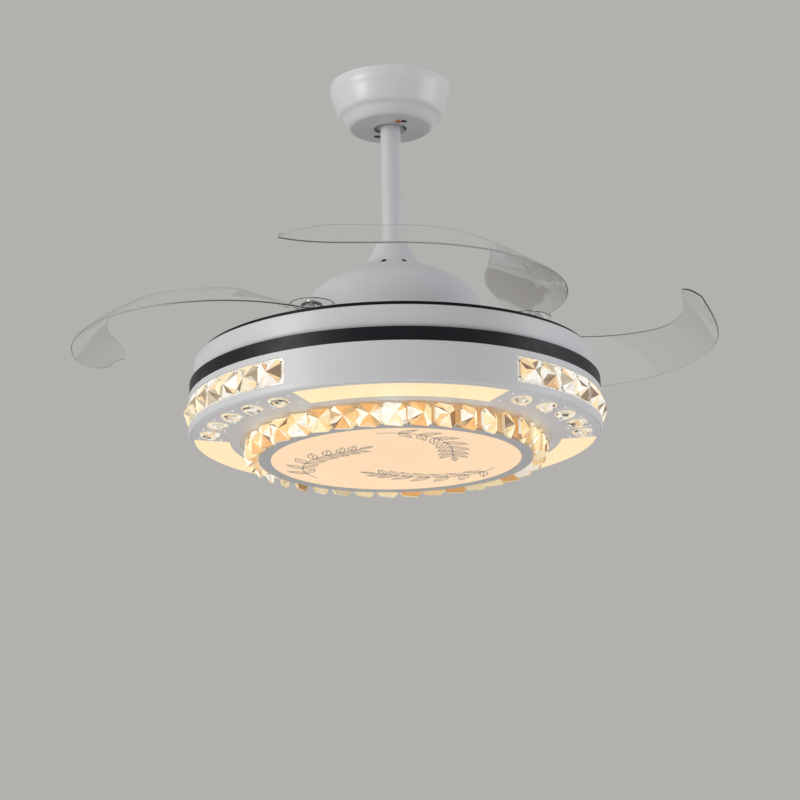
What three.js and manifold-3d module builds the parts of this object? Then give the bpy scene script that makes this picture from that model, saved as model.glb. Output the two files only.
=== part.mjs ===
// Ceiling fan with a lamp body and four clear blades that fold away over it.
// Millimetres, +Z up. The origin is on the fan's axis in the ceiling plane, and everything hangs below it.
import * as THREE from 'three';
import { mergeVertices } from 'three/addons/utils/BufferGeometryUtils.js';
import Module from 'manifold-3d';

const wasm = await Module();
wasm.setup();

// ---- driving dimensions -------------------------------------------------------------------------
const GAP = 0.3; // between pieces that touch
const RING_FACETS = 28; // sides of the large rings
const INNER_FACETS = 16; // sides of round pieces inside the housings
const ROUND_FACETS = 20; // sides of the canopy and the motor cover
const SMALL_FACETS = 12; // sides of shafts and bosses
const HOLE_FACETS = 8; // sides of screws, pins and their holes
const DEG = Math.PI / 180;

// Ceiling bracket and canopy
const PLATE_LENGTH = 116;
const PLATE_WIDTH = 38;
const BRACKET_SHEET = 2.5;
const ANCHOR_SLOT_LENGTH = 16;
const ANCHOR_SLOT_WIDTH = 6;
const ANCHOR_SLOT_OFFSET = 42;
const WIRE_HOLE_RADIUS = 8;
const WIRE_HOLE_OFFSET = 20;
const STRAP_WIDTH = 30;
const STRAP_PLAY = 1.5;
const KEY_HEIGHT = 6;
const MOUTH_PLAY = 1;
const MOUTH_ANGLE = 68;
const SEAT_MARGIN = 3.6;
const CUT_PAST = 1; // how far a cutting tool reaches past the faces that it cuts
const CANOPY_RIM_RADIUS = 74.7;
const CANOPY_HEIGHT = 57.4;
const CANOPY_WALL = 1.6;
const CANOPY_FLOOR_RADIUS = 49.2;
const CANOPY_HOLE_RADIUS = 20.3;
const CEILING_CLEARANCE = 1;
const CANOPY_SCREW_CIRCLE = 30;
const CANOPY_SCREW_ANGLE = -70.5;
const KEYHOLE_STEP = 4.5;
const KEYHOLE_HEAD_ANGLE = 14.5;
const KEYHOLE_PLAY = 0.8;
const SCREW_RADIUS = 1.9;
const SCREW_HEAD_RADIUS = 3.9;
const SCREW_HEAD_HEIGHT = 2.2;
const SCREW_HEAD_ROUND = 1.2;
const SCREW_PAST_SEAT = 3;

// Hanger ball and downrod
const BALL_RADIUS = 27;
const BALL_SEAT_RADIUS = 16.8;
const BALL_TOP_RISE = 14;
const BALL_LIP = 2.85;
const KEY_WIDTH = 5;
const KEY_DEPTH = 4;
const KEY_PLAY = 1;
const ROD_RADIUS = 12.5;
const ROD_WALL = 1.8;
const ROD_LENGTH = 223;
const ROD_ABOVE_BALL = 21.4;
const PIN_RADIUS = 3;
const PIN_INSET = 0.1;
const COUPLING_PIN_PROUD = 1;

// Coupling and motor cover
const COUPLING_WALL = 3.7;
const SOCKET_DEPTH = 26.2;
const COUPLING_WEB = 7.5;
const SHAFT_SOCKET_DEPTH = 11;
const COVER_WALL = 1.8;
const COVER_HEIGHT = 148.3;
const COVER_NECK_RADIUS = 19.6;
const COVER_RADIUS = 114;
const VENT_COUNT = 10;
const VENT_RADIUS = 43;
const VENT_LENGTH = 12;
const VENT_WIDTH = 3.6;
const VENT_DEPTH = 40;
const VENT_DROP = 38.6;
const VENT_TURN = 21;

// Motor
const SHAFT_RADIUS = 8.5;
const SHAFT_BORE_RADIUS = 5.4;
const MOTOR_RADIUS = 90;
const MOTOR_HEIGHT = 59.5;
const MOTOR_WALL = 3;
const BEARING_RADIUS = 17;
const BEARING_HEIGHT = 10;
const BEARING_CUP_WALL = 4;
const SHELL_CHAMFER = 6;
const SHELL_FILLET = 4;
const SHELL_PLAY = 1.5;
const SHELL_SPLIT_HEIGHT = 28.6;
const STATOR_AIR_GAP = 3.7;
const STATOR_HEIGHT = 33;
const STATOR_CORE_RADIUS = 39;
const STATOR_END_PLAY = 2;
const STATOR_POLES = 9;
const POLE_WIDTH = 20;
const POLE_ROOT = 1.6;
const MAGNET_THICKNESS = 5;
const MAGNET_END_PLAY = 8;

// Rotor tray, blade pivots and the gears that keep the blades together
const TRAY_INSET = 12;
const TRAY_BORE_RADIUS = 60;
const TRAY_THICKNESS = 3;
const COVER_TO_TRAY = 3.8;
const PIVOT_COUNT = 4;
const PIVOT_CIRCLE = 186;
const PIVOT_ANGLE = -30.7;
const PAD_RADIUS = 30;
const PAD_HEIGHT = 1.5;
const HUB_RADIUS = 11.5;
const HUB_RISE = 4;
const PAD_ROOT = 2;
const GEAR_TEETH = 12;
const SYNC_TEETH = 80;
const GEAR_THICKNESS = 8;
const PRESSURE_ANGLE = 20 * DEG;
const TOOTH_BACKLASH = 0.5;
const GEAR_SECTOR = 85;
const SYNC_SECTOR = 13;
const SYNC_RIM = 8;
const GUIDE_WALL = 7;
const GUIDE_LIP = 3;
const BOLT_RADIUS = 4;
const BOLT_HEAD_RADIUS = 8;
const BOLT_HEAD_HEIGHT = 3.2;
const BOLT_HEAD_PLAY = 1.5;
const BOLT_END_WALL = 2;
const SPRING_WIRE = 1.8;
const SPRING_PLAY = 1.6;
const SPRING_TURNS = 3;
const SPRING_LENGTH = 10.6;

// Blades: a crescent whose outer edge is a widening arc through the pivot
const BOSS_RADIUS = 27;
const BOSS_HEIGHT = 22;
const BOSS_FACETS = 18;
const BLADE_CLEAR_HEIGHT = 60;
const BLADE_THICKNESS = 2.4;
const BLADE_SWEEP = 165;
const BLADE_START_ANGLE = 62.4;
const BLADE_START_RADIUS = 145;
const BLADE_RADIUS_GROWTH = 74;
const BLADE_RADIUS_FLARE = 34;
const BLADE_WIDTH = 91;
const BLADE_RISE = 44;
const BLADE_EDGE_HEIGHT = 17.1;
const BLADE_TIP_LIFT = 17;
const BLADE_TIP_START = 0.8;
const BLADE_CAMBER = 0.3;
const BLADE_STATIONS = [0, 0.05, 0.1, 0.25, 0.4, 0.55, 0.7, 0.82, 0.92, 0.98, 1];
const BLADE_WIDTH_SHARES = [0.27, 0.64, 0.88, 1, 0.97, 0.76, 0.55, 0.47, 0.37, 0.25, 0.11];
const BLADE_RISE_SHARES = [0.09, 0.45, 0.73, 0.98, 1, 0.95, 0.84, 0.77, 0.7, 0.55, 0.32];
const BLADE_STEPS = 18;
const BLADE_STRIPS = 3;

// Lamp body
const LAMP_TURN = 1.9;
const RUNNING_GAP = 1.5;
const SHEET = 1.5;
const LAMP_RADIUS = 250;
const UPPER_RING_INSET = 6.2;
const UPPER_RING_ROUND = 0.8;
const UPPER_FOOT_INSET = 1.6;
const UPPER_FOOT_HEIGHT = 2.2;
const BAND_INSET = 0.7;
const BAND_HEIGHT = 16.2;
const LOWER_RING_HEIGHT = 48;
const LOWER_RING_WALL = 1.6;
const LOWER_RING_CORNER = 2.5;
const PAN_WALL_INSET = 16;
const PAN_FLANGE = 12;
const PAN_DEPTH = 20.8;
const PAN_CLEARANCE = 2.9;
const FLANGE_PLAY = 2;
const NUT_RADIUS = 16;
const NUT_HEIGHT = 7;
const SHAFT_BELOW_PAN = 12;
const REFLECTOR_DROP = 28;
const REFLECTOR_INSET = 5;
const POST_CIRCLE = 110;
const POST_RADIUS = 4;
const POST_HEAD_RADIUS = 7;
const POST_HEAD_HEIGHT = 2;
const POSTS = 4;
const LED_BOARD_MARGIN = 5;
const LED_BOARD_INNER = 40;
const DRIVER_LENGTH = 118;
const DRIVER_WIDTH = 42;
const DRIVER_HEIGHT = 22;
const DRIVER_OFFSET = 62;

// Crystals in the wall
const SECTOR_COUNT = 3;
const WINDOW_ANGLE = 56;
const WINDOW_HEIGHT = 31.6;
const WINDOW_SILL = 8.6;
const WINDOW_TILES = 7;
const WINDOW_LAP = 2;
const WINDOW_LAP_ANGLE = 1;
const WINDOW_TILE_PROUD = 7;
const WINDOW_BACKING = 3;

// Bottom plate, lit panels, crystal studs
const BOTTOM_DROP = 0.8;
const DISH_DEPTH = 4.2;
const PLATE_CHAMFER = 1;
const PANEL_MARGIN = 0.5;
const PANEL_WIDTH = 43.2;
const PANEL_ANGLE = 61;
const PANEL_LEDGE = 3;
const PANEL_LEDGE_ANGLE = 1;
const PANEL_STEPS = 8;
const PANEL_BACK = 1.6;
const PLATE_LAND = 12.5;
const STUDS = 5;
const STUD_INSET = 22.2;
const STUD_PITCH = 10.9;
const STUD_RADIUS = 12.2;
const STUD_TABLE_RADIUS = 6.1;
const STUD_STEM_RADIUS = 6;
const STUD_HEIGHT = 8.5;
const STRIP_WIDTH = 22;
const STRIP_THICKNESS = 2;
const STRIP_END_ANGLE = 3.5;

// Centre disc and its crystal ring
const CARRIER_INSET = 19.5;
const CARRIER_DROP = 23.7;
const CARRIER_LIP = 9;
const CARRIER_FLANGE = 6;
const DISC_REBATE = 4;
const DISC_LIP = 1;
const BORDER_INSET = 3.2;
const BORDER_WIDTH = 14.2;
const DISC_THICKNESS = 3;
const RING_TILES = 37;
const RING_TILE_DEPTH = 6.9;
const RING_PROUD = 8.5;
const RING_TILE_HEIGHT = 27.3;
const RING_BELOW_FLANGE = 1.7;

// The flats of a faceted hole lie inside its corners: a hole this wide clears a shaft at any turn.
const flatsOf = (radius, facets) => radius * Math.cos(Math.PI / facets);
const clearHole = (radius, facets) => (radius + GAP) / Math.cos(Math.PI / facets);

// ---- radii and levels, worked out from the dimensions --------------------------------------------
const upperRadius = LAMP_RADIUS - UPPER_RING_INSET;
const bandRadius = LAMP_RADIUS - BAND_INSET;
const trayRadius = LAMP_RADIUS - TRAY_INSET;
const panRadius = LAMP_RADIUS - PAN_WALL_INSET;
const reflectorRadius = panRadius - REFLECTOR_INSET;
const plateRadius = LAMP_RADIUS - LOWER_RING_CORNER - GAP;
const rimBore = flatsOf(plateRadius - SHEET, RING_FACETS);
const panelOuter = rimBore - PANEL_MARGIN;
const panelInner = panelOuter - PANEL_WIDTH;
const plateBore = panelInner - PLATE_LAND;
const studCircle = plateRadius - STUD_INSET;
const carrierRadius = plateBore - CARRIER_INSET;
const borderRadius = carrierRadius - BORDER_INSET;
const discRadius = borderRadius - BORDER_WIDTH;

const seatBottom = -CANOPY_HEIGHT + CANOPY_WALL + GAP;
const seatTop = seatBottom + BRACKET_SHEET;
const ballZ = seatBottom + Math.sqrt((BALL_RADIUS + GAP) ** 2 - BALL_SEAT_RADIUS ** 2);
const rodTop = ballZ + ROD_ABOVE_BALL;
const rodBottom = rodTop - ROD_LENGTH;
const couplingTop = rodBottom + SOCKET_DEPTH;
const couplingBottom = rodBottom - GAP - COUPLING_WEB - SHAFT_SOCKET_DEPTH;
const couplingPinZ = (rodBottom + couplingTop) / 2;
const shaftTop = rodBottom - COUPLING_WEB - 2 * GAP;
const coverTop = couplingTop + GAP + COVER_WALL;
const coverBottom = coverTop - COVER_HEIGHT;
const trayTop = coverBottom - COVER_TO_TRAY;
const trayBottom = trayTop - TRAY_THICKNESS;
const motorBottom = trayTop + GAP;
const gearTop = trayBottom - SPRING_LENGTH - 2 * GAP;
const gearBottom = gearTop - GEAR_THICKNESS;
const guideBottom = gearBottom - GAP - GUIDE_LIP;
const panTop = guideBottom - PAN_CLEARANCE;
const panBottom = panTop - SHEET;
const flangeTop = panBottom - PAN_DEPTH + GAP;
const shaftBottom = panBottom - SHAFT_BELOW_PAN;
const lowerRingTop = flangeTop + GAP + SHEET;
const lowerRingBottom = lowerRingTop - LOWER_RING_HEIGHT;
const bandBottom = lowerRingTop + GAP;
const bandTop = bandBottom + BAND_HEIGHT;
const upperRingBottom = bandTop + GAP;
const plateBottom = lowerRingBottom - BOTTOM_DROP;
const plateTop = plateBottom + SHEET;
const bossBottom = trayTop + PAD_HEIGHT + GAP;
const bossTop = bossBottom + BOSS_HEIGHT;
const hubTop = bossBottom + HUB_RISE;
const gearModule = 2 * PIVOT_CIRCLE / (GEAR_TEETH + SYNC_TEETH);
const syncPitchRadius = gearModule * SYNC_TEETH / 2;
const syncBoreRadius = syncPitchRadius - gearModule * 1.25 - SYNC_RIM;
// The bottom plate and what lies in it slope down towards the disc: this is the drop at a radius.
const dishAt = (r) => DISH_DEPTH * Math.min(1, Math.max(0, (plateRadius - r) / (plateRadius - plateBore)));
const carrierTop = plateTop - dishAt(plateBore + CARRIER_FLANGE) + GAP + SHEET;
const carrierBottom = carrierTop - CARRIER_DROP;
const ringTileTop = carrierTop - SHEET - RING_BELOW_FLANGE;

// ---- materials ----------------------------------------------------------------------------------
function finish(color, roughness, metalness, opacity = 1) {
  return new THREE.MeshStandardMaterial({ color, roughness, metalness, opacity, transparent: opacity < 1 });
}
const whitePaint = () => finish(0xe9e9e7, 0.45, 0);
const galvanised = () => finish(0xa9abac, 0.4, 0.9);
const steel = () => finish(0x8d9093, 0.35, 1);
const blackGloss = () => finish(0x15151c, 0.18, 0.1);
const blackPaint = () => finish(0x1b1b1d, 0.5, 0);
const clearPlastic = () => finish(0xdfe4e6, 0.05, 0, 0.3);
const crystal = () => finish(0xffd9a0, 0.02, 0, 0.6);
const litAcrylic = () => finish(0xffe8c0, 0.4, 0);
const nylon = () => finish(0x2b2d30, 0.6, 0);

// ---- geometry helpers ---------------------------------------------------------------------------
function outward(geometry) {
  const bare = geometry.index ? geometry.toNonIndexed() : geometry.clone();
  bare.deleteAttribute('normal');
  bare.deleteAttribute('uv');
  const merged = mergeVertices(bare, 1e-4);
  const p = merged.attributes.position;
  const kept = [];
  let volume = 0;
  const a = new THREE.Vector3();
  const b = new THREE.Vector3();
  const c = new THREE.Vector3();
  for (let i = 0; i < merged.index.count; i += 3) {
    const [u, v, w] = [0, 1, 2].map((k) => merged.index.getX(i + k));
    if (u === v || v === w || w === u) continue;
    kept.push(u, v, w);
    a.fromBufferAttribute(p, u);
    b.fromBufferAttribute(p, v);
    c.fromBufferAttribute(p, w);
    volume += a.dot(b.cross(c));
  }
  if (volume < 0) kept.reverse();
  merged.setIndex(kept);
  return merged;
}

function solid(geometry) {
  const g = outward(geometry);
  const mesh = new wasm.Mesh({
    numProp: 3,
    vertProperties: new Float32Array(g.attributes.position.array),
    triVerts: new Uint32Array(g.index.array),
  });
  return new wasm.Manifold(mesh);
}

function geometryOf(manifold) {
  const mesh = manifold.getMesh();
  const g = new THREE.BufferGeometry();
  g.setAttribute('position', new THREE.BufferAttribute(new Float32Array(mesh.vertProperties), 3));
  g.setIndex(new THREE.BufferAttribute(new Uint32Array(mesh.triVerts), 1));
  return g;
}

// A closed outline of [radius, z] points, revolved about the fan's axis.
function revolve(outline, facets) {
  const points = [...outline, outline[0]].map(([r, z]) => new THREE.Vector2(Math.max(r, 0), z));
  const g = new THREE.LatheGeometry(points, facets);
  g.rotateX(Math.PI / 2);
  return outward(g);
}

function tube(inner, outer, bottom, top, facets) {
  return revolve([[inner, bottom], [outer, bottom], [outer, top], [inner, top]], facets);
}

function rod(radius, bottom, top, facets, x = 0, y = 0) {
  const g = new THREE.CylinderGeometry(radius, radius, top - bottom, facets);
  g.rotateX(Math.PI / 2);
  g.translate(x, y, (top + bottom) / 2);
  return g;
}

function crossRod(radius, length, z, facets = HOLE_FACETS) {
  const g = new THREE.CylinderGeometry(radius, radius, length, facets);
  g.rotateZ(Math.PI / 2);
  g.translate(0, 0, z);
  return g;
}

function block(width, depth, height, x, y, z) {
  const g = new THREE.BoxGeometry(width, depth, height);
  g.translate(x, y, z);
  return g;
}

function prism(shape, bottom, top, curveSegments = 12) {
  const g = new THREE.ExtrudeGeometry(shape, { depth: top - bottom, bevelEnabled: false, curveSegments });
  g.translate(0, 0, bottom);
  return g;
}

function polar(radius, degrees) {
  return [radius * Math.cos(degrees * DEG), radius * Math.sin(degrees * DEG)];
}

function outlineShape(points) {
  return new THREE.Shape(points.map(([x, y]) => new THREE.Vector2(x, y)));
}

// A bar or slot along X with half-round ends.
function roundEndedShape(x, length, width) {
  const shape = new THREE.Shape();
  const half = (length - width) / 2;
  shape.absarc(x + half, 0, width / 2, -Math.PI / 2, Math.PI / 2);
  shape.absarc(x - half, 0, width / 2, Math.PI / 2, 1.5 * Math.PI);
  return shape;
}

// An annular sector between two radii, centred on an angle in degrees.
function sectorShape(inner, outer, centre, width, steps) {
  const angles = Array.from({ length: steps + 1 }, (_, i) => centre - width / 2 + width * i / steps);
  return outlineShape([
    ...angles.map((angle) => polar(outer, angle)),
    ...angles.reverse().map((angle) => polar(inner, angle)),
  ]);
}

function cut(base, tools) {
  return tools.reduce((body, tool) => body.subtract(solid(tool)), solid(base));
}

function join(base, additions) {
  return additions.reduce((body, part) => body.add(solid(part)), base);
}

function named(name, geometry, material) {
  const mesh = new THREE.Mesh(geometry, material);
  mesh.name = name;
  return mesh;
}

function group(children, turn = 0) {
  const g = new THREE.Group();
  g.add(...children);
  g.rotation.z = turn * DEG;
  return g;
}

const count = (n) => Array.from({ length: n }, (_, i) => i);

// ---- ceiling bracket and canopy -----------------------------------------------------------------
const seatPlateRadius = CANOPY_FLOOR_RADIUS - CANOPY_WALL - SEAT_MARGIN;
const seatRadius = (z) => Math.sqrt((BALL_RADIUS + GAP) ** 2 - (z - ballZ) ** 2) / Math.cos(Math.PI / INNER_FACETS);
const strapX = BALL_RADIUS + GAP + STRAP_PLAY + BRACKET_SHEET / 2;

// Stamped steel: a slotted bar on the ceiling, two straps and a lower plate with the ball's seat.
function hangerBracket() {
  const bar = roundEndedShape(0, PLATE_LENGTH, PLATE_WIDTH);
  const seat = revolve([
    [seatRadius(seatBottom), seatBottom],
    [seatPlateRadius, seatBottom],
    [seatPlateRadius, seatTop],
    [seatRadius(seatTop), seatTop],
  ], INNER_FACETS);
  const strapHeight = -BRACKET_SHEET / 2 - (seatTop + seatBottom) / 2;
  const straps = [-1, 1].map((side) => block(
    BRACKET_SHEET, STRAP_WIDTH, strapHeight, side * strapX, 0, (seatTop + seatBottom) / 2 + strapHeight / 2,
  ));
  const keyReach = strapX - BALL_RADIUS + KEY_DEPTH;
  const key = block(keyReach, KEY_WIDTH, KEY_HEIGHT, -strapX + keyReach / 2, 0, ballZ);
  const anchorSlots = [-1, 1].map((side) => prism(
    roundEndedShape(side * ANCHOR_SLOT_OFFSET, ANCHOR_SLOT_LENGTH, ANCHOR_SLOT_WIDTH),
    -BRACKET_SHEET - CUT_PAST, CUT_PAST, 4,
  ));
  const mouth = block(seatPlateRadius + CUT_PAST, 2 * (ROD_RADIUS + MOUTH_PLAY), BRACKET_SHEET + 2 * CUT_PAST,
    (seatPlateRadius + CUT_PAST) / 2, 0, (seatBottom + seatTop) / 2);
  mouth.rotateZ(MOUTH_ANGLE * DEG);
  const screwHoles = canopyScrewPlaces().map(([x, y]) => rod(
    SCREW_RADIUS + GAP, seatBottom - CUT_PAST, seatTop + CUT_PAST, HOLE_FACETS, x, y,
  ));
  const wireHole = rod(WIRE_HOLE_RADIUS, -BRACKET_SHEET - CUT_PAST, CUT_PAST, SMALL_FACETS, WIRE_HOLE_OFFSET);
  const body = join(solid(prism(bar, -BRACKET_SHEET, 0, 6)), [seat, ...straps, key]);
  return geometryOf([...anchorSlots, mouth, ...screwHoles, wireHole].reduce((b, t) => b.subtract(solid(t)), body));
}

function canopyScrewPlaces() {
  return [0, 180].map((turn) => polar(CANOPY_SCREW_CIRCLE, CANOPY_SCREW_ANGLE + turn));
}

// Spun steel bowl with a soft step and two keyhole slots in its floor.
function canopy() {
  const rim = -CEILING_CLEARANCE;
  const floor = -CANOPY_HEIGHT;
  const drop = CANOPY_HEIGHT - CEILING_CLEARANCE;
  const flare = CANOPY_RIM_RADIUS - CANOPY_FLOOR_RADIUS;
  const steps = [[0.16, 0.01], [0.33, 0.14], [0.48, 0.2], [0.64, 0.38], [0.82, 0.66], [0.95, 0.87]];
  const side = steps.map(([down, inward]) => [CANOPY_RIM_RADIUS - flare * inward, rim - drop * down]);
  const inside = side.filter((_, i) => i % 2).map(([r, z]) => [r - CANOPY_WALL, z + 0.3 * CANOPY_WALL]).reverse();
  const shell = revolve([
    [CANOPY_RIM_RADIUS, rim],
    ...side,
    [CANOPY_FLOOR_RADIUS, floor],
    [CANOPY_HOLE_RADIUS, floor],
    [CANOPY_HOLE_RADIUS, floor + CANOPY_WALL],
    [CANOPY_FLOOR_RADIUS - 0.5 * CANOPY_WALL, floor + CANOPY_WALL],
    ...inside,
    [CANOPY_RIM_RADIUS - CANOPY_WALL, rim],
  ], ROUND_FACETS);
  const keyholes = [0, 180].flatMap((turn) => {
    const at = (step) => polar(CANOPY_SCREW_CIRCLE, CANOPY_SCREW_ANGLE + turn + step);
    const hole = (radius, facets, step) => rod(
      radius, floor - CUT_PAST, floor + CANOPY_WALL + CUT_PAST, facets, ...at(step),
    );
    const narrow = count(3).map((i) => hole(SCREW_RADIUS + GAP, 6, KEYHOLE_STEP * i));
    return [...narrow, hole(SCREW_HEAD_RADIUS + KEYHOLE_PLAY, HOLE_FACETS, KEYHOLE_HEAD_ANGLE)];
  });
  return geometryOf(cut(shell, keyholes));
}

function canopyScrew([x, y]) {
  const headTop = -CANOPY_HEIGHT - GAP;
  const outline = [
    [0, headTop - SCREW_HEAD_HEIGHT],
    [SCREW_HEAD_RADIUS - SCREW_HEAD_ROUND, headTop - SCREW_HEAD_HEIGHT],
    [SCREW_HEAD_RADIUS, headTop - SCREW_HEAD_HEIGHT / 2],
    [SCREW_HEAD_RADIUS, headTop],
    [SCREW_RADIUS, headTop],
    [SCREW_RADIUS, seatTop + SCREW_PAST_SEAT],
    [0, seatTop + SCREW_PAST_SEAT],
  ];
  const g = revolve(outline, HOLE_FACETS);
  g.translate(x, y, 0);
  return g;
}

// ---- hanger ball, downrod and coupling ----------------------------------------------------------
const hangerPinZ = ballZ + BALL_TOP_RISE;
const hangerPinLength = 2 * (Math.sqrt(BALL_RADIUS ** 2 - BALL_TOP_RISE ** 2) - PIN_INSET);

function hangerBall() {
  const bore = ROD_RADIUS + GAP;
  const bottom = -Math.sqrt(BALL_RADIUS ** 2 - (bore + BALL_LIP) ** 2);
  const arc = count(6).map((i) => {
    const z = bottom + (BALL_TOP_RISE - bottom) * i / 5;
    return [Math.sqrt(BALL_RADIUS ** 2 - z ** 2), ballZ + z];
  });
  const body = revolve([[bore, ballZ + bottom], ...arc, [bore, ballZ + BALL_TOP_RISE]], SMALL_FACETS);
  const groove = crossRod(PIN_RADIUS + GAP, 2 * BALL_RADIUS + 2 * CUT_PAST, hangerPinZ);
  const keyway = block(2 * (KEY_DEPTH + GAP), KEY_WIDTH + 2 * KEY_PLAY, BALL_RADIUS, -BALL_RADIUS, 0, ballZ);
  return geometryOf(cut(body, [groove, keyway]));
}

function downrod() {
  const wall = tube(ROD_RADIUS - ROD_WALL, ROD_RADIUS, rodBottom, rodTop, SMALL_FACETS);
  const holes = [hangerPinZ, couplingPinZ].map((z) => crossRod(PIN_RADIUS + GAP, 4 * ROD_RADIUS, z));
  return geometryOf(cut(wall, holes));
}

const couplingRadius = ROD_RADIUS + GAP + COUPLING_WALL;

function rodCoupling() {
  const socket = ROD_RADIUS + GAP;
  const web = rodBottom - GAP;
  const shaftSocket = SHAFT_RADIUS + GAP;
  const body = revolve([
    [shaftSocket, couplingBottom],
    [couplingRadius, couplingBottom],
    [couplingRadius, couplingTop],
    [socket, couplingTop],
    [socket, web],
    [SHAFT_BORE_RADIUS, web],
    [SHAFT_BORE_RADIUS, web - COUPLING_WEB],
    [shaftSocket, web - COUPLING_WEB],
  ], SMALL_FACETS);
  return geometryOf(cut(body, [crossRod(PIN_RADIUS + GAP, 4 * couplingRadius, couplingPinZ)]));
}

// ---- motor cover: a long neck that flares into a shallow bell ------------------------------------
function coverOutline() {
  const span = COVER_RADIUS - COVER_NECK_RADIUS;
  const stations = [
    [0, 0], [0.03, 0.045], [0.12, 0.17], [0.18, 0.215], [0.27, 0.257], [0.43, 0.294], [0.59, 0.349],
    [0.75, 0.411], [0.88, 0.49], [0.96, 0.64],
  ];
  return stations.map(([out, down]) => [COVER_NECK_RADIUS + span * out, coverTop - COVER_HEIGHT * down]);
}

function motorCover() {
  const outer = coverOutline();
  const offset = 0.75 * COVER_WALL;
  const inner = outer.filter((_, i) => i % 3 === 0 && i > 1).map(([r, z]) => [r - offset, z - offset]).reverse();
  const shell = revolve([
    [ROD_RADIUS + 2 * GAP, coverTop],
    ...outer,
    [COVER_RADIUS, coverBottom],
    [COVER_RADIUS - COVER_WALL, coverBottom],
    ...inner,
    [COVER_NECK_RADIUS - offset, coverTop - COVER_WALL],
    [ROD_RADIUS + 2 * GAP, coverTop - COVER_WALL],
  ], ROUND_FACETS);
  const vents = count(VENT_COUNT).map((i) => {
    const slot = block(VENT_LENGTH, VENT_WIDTH, VENT_DEPTH, VENT_RADIUS, 0, coverTop - VENT_DROP);
    slot.rotateZ((VENT_TURN - 90 + 360 / VENT_COUNT * i) * DEG);
    return slot;
  });
  return geometryOf(cut(shell, vents));
}

// ---- motor: a fixed hollow shaft with its stator, and a shell that turns round it ----------------
const motorTop = motorBottom + MOTOR_HEIGHT;
const motorSplit = motorBottom + SHELL_SPLIT_HEIGHT;
const bearingSeat = clearHole(BEARING_RADIUS, SMALL_FACETS);
const shellBore = MOTOR_RADIUS - MOTOR_WALL;
const bearingDepth = MOTOR_WALL + BEARING_HEIGHT + 2 * GAP;
const statorRadius = shellBore - GAP - MAGNET_THICKNESS - STATOR_AIR_GAP;

function motorShell(ends) {
  const [closed, open] = ends;
  const up = Math.sign(open - closed);
  const seat = closed + up * bearingDepth;
  return revolve([
    [SHAFT_RADIUS + SHELL_PLAY, closed],
    [MOTOR_RADIUS - SHELL_CHAMFER, closed],
    [MOTOR_RADIUS, closed + up * SHELL_CHAMFER],
    [MOTOR_RADIUS, open],
    [shellBore, open],
    [shellBore, closed + up * MOTOR_WALL * 2],
    [shellBore - SHELL_FILLET, closed + up * MOTOR_WALL],
    [bearingSeat + BEARING_CUP_WALL, closed + up * MOTOR_WALL],
    [bearingSeat + BEARING_CUP_WALL, seat],
    [bearingSeat, seat],
    [bearingSeat, closed + up * MOTOR_WALL],
    [SHAFT_RADIUS + SHELL_PLAY, closed + up * MOTOR_WALL],
  ], INNER_FACETS);
}

function bearing(bottom) {
  return tube(clearHole(SHAFT_RADIUS, SMALL_FACETS), BEARING_RADIUS, bottom, bottom + BEARING_HEIGHT, SMALL_FACETS);
}

// Laminated core with slotted poles, and the copper standing above and below each pole.
function stator() {
  const middle = (motorBottom + motorTop) / 2;
  const half = MOTOR_HEIGHT / 2 - bearingDepth - STATOR_END_PLAY;
  const core = tube(SHAFT_RADIUS + GAP, STATOR_CORE_RADIUS, middle - half, middle + half, SMALL_FACETS);
  const poleLength = statorRadius - STATOR_CORE_RADIUS + POLE_ROOT;
  const poles = count(STATOR_POLES).map((i) => {
    const pole = block(poleLength, POLE_WIDTH, STATOR_HEIGHT, statorRadius - poleLength / 2, 0, middle);
    pole.rotateZ(i * 2 * Math.PI / STATOR_POLES);
    return pole;
  });
  return geometryOf(join(solid(core), poles));
}

function magnetRing() {
  const inset = MOTOR_WALL + MAGNET_END_PLAY;
  return tube(shellBore - GAP - MAGNET_THICKNESS, shellBore - GAP, motorBottom + inset, motorTop - inset, INNER_FACETS);
}

// ---- rotor tray, synchronising gear and its guide -------------------------------------------------
function rotorTray() {
  const plate = prism(sectorlessRing(TRAY_BORE_RADIUS, trayRadius, RING_FACETS), trayBottom, trayTop);
  const pads = count(PIVOT_COUNT).map((i) => {
    const [x, y] = polar(PIVOT_CIRCLE, 360 / PIVOT_COUNT * i);
    return rod(PAD_RADIUS, trayTop - PAD_ROOT, trayTop + PAD_HEIGHT, SMALL_FACETS, x, y);
  });
  const holes = count(PIVOT_COUNT).map((i) => {
    const [x, y] = polar(PIVOT_CIRCLE, 360 / PIVOT_COUNT * i);
    return rod(clearHole(HUB_RADIUS, SMALL_FACETS), trayBottom - CUT_PAST, bossBottom + CUT_PAST, SMALL_FACETS, x, y);
  });
  const body = join(solid(plate), pads);
  return geometryOf(holes.reduce((b, hole) => b.subtract(solid(hole)), body));
}

function sectorlessRing(inner, outer, facets) {
  const circle = (r) => count(facets).map((i) => polar(r, 360 / facets * i));
  const ring = outlineShape(circle(outer));
  ring.holes.push(new THREE.Path(circle(inner).reverse().map(([x, y]) => new THREE.Vector2(x, y))));
  return ring;
}

// The points up one flank of an involute tooth, as [radius, angle] from the tooth's centre line.
function toothPoints(teeth) {
  const pitch = gearModule * teeth / 2;
  const root = pitch - 1.25 * gearModule;
  const tip = pitch + gearModule;
  const base = pitch * Math.cos(PRESSURE_ANGLE);
  const involute = (r) => {
    const a = Math.acos(Math.min(1, base / r));
    return Math.tan(a) - a;
  };
  const halfPitch = Math.PI / (2 * teeth) - TOOTH_BACKLASH / (2 * pitch);
  const half = (r) => halfPitch + involute(pitch) - involute(Math.max(r, base));
  const radii = [root, pitch, tip];
  return { root, flank: radii.map((r) => [r, half(r)]) };
}

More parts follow.
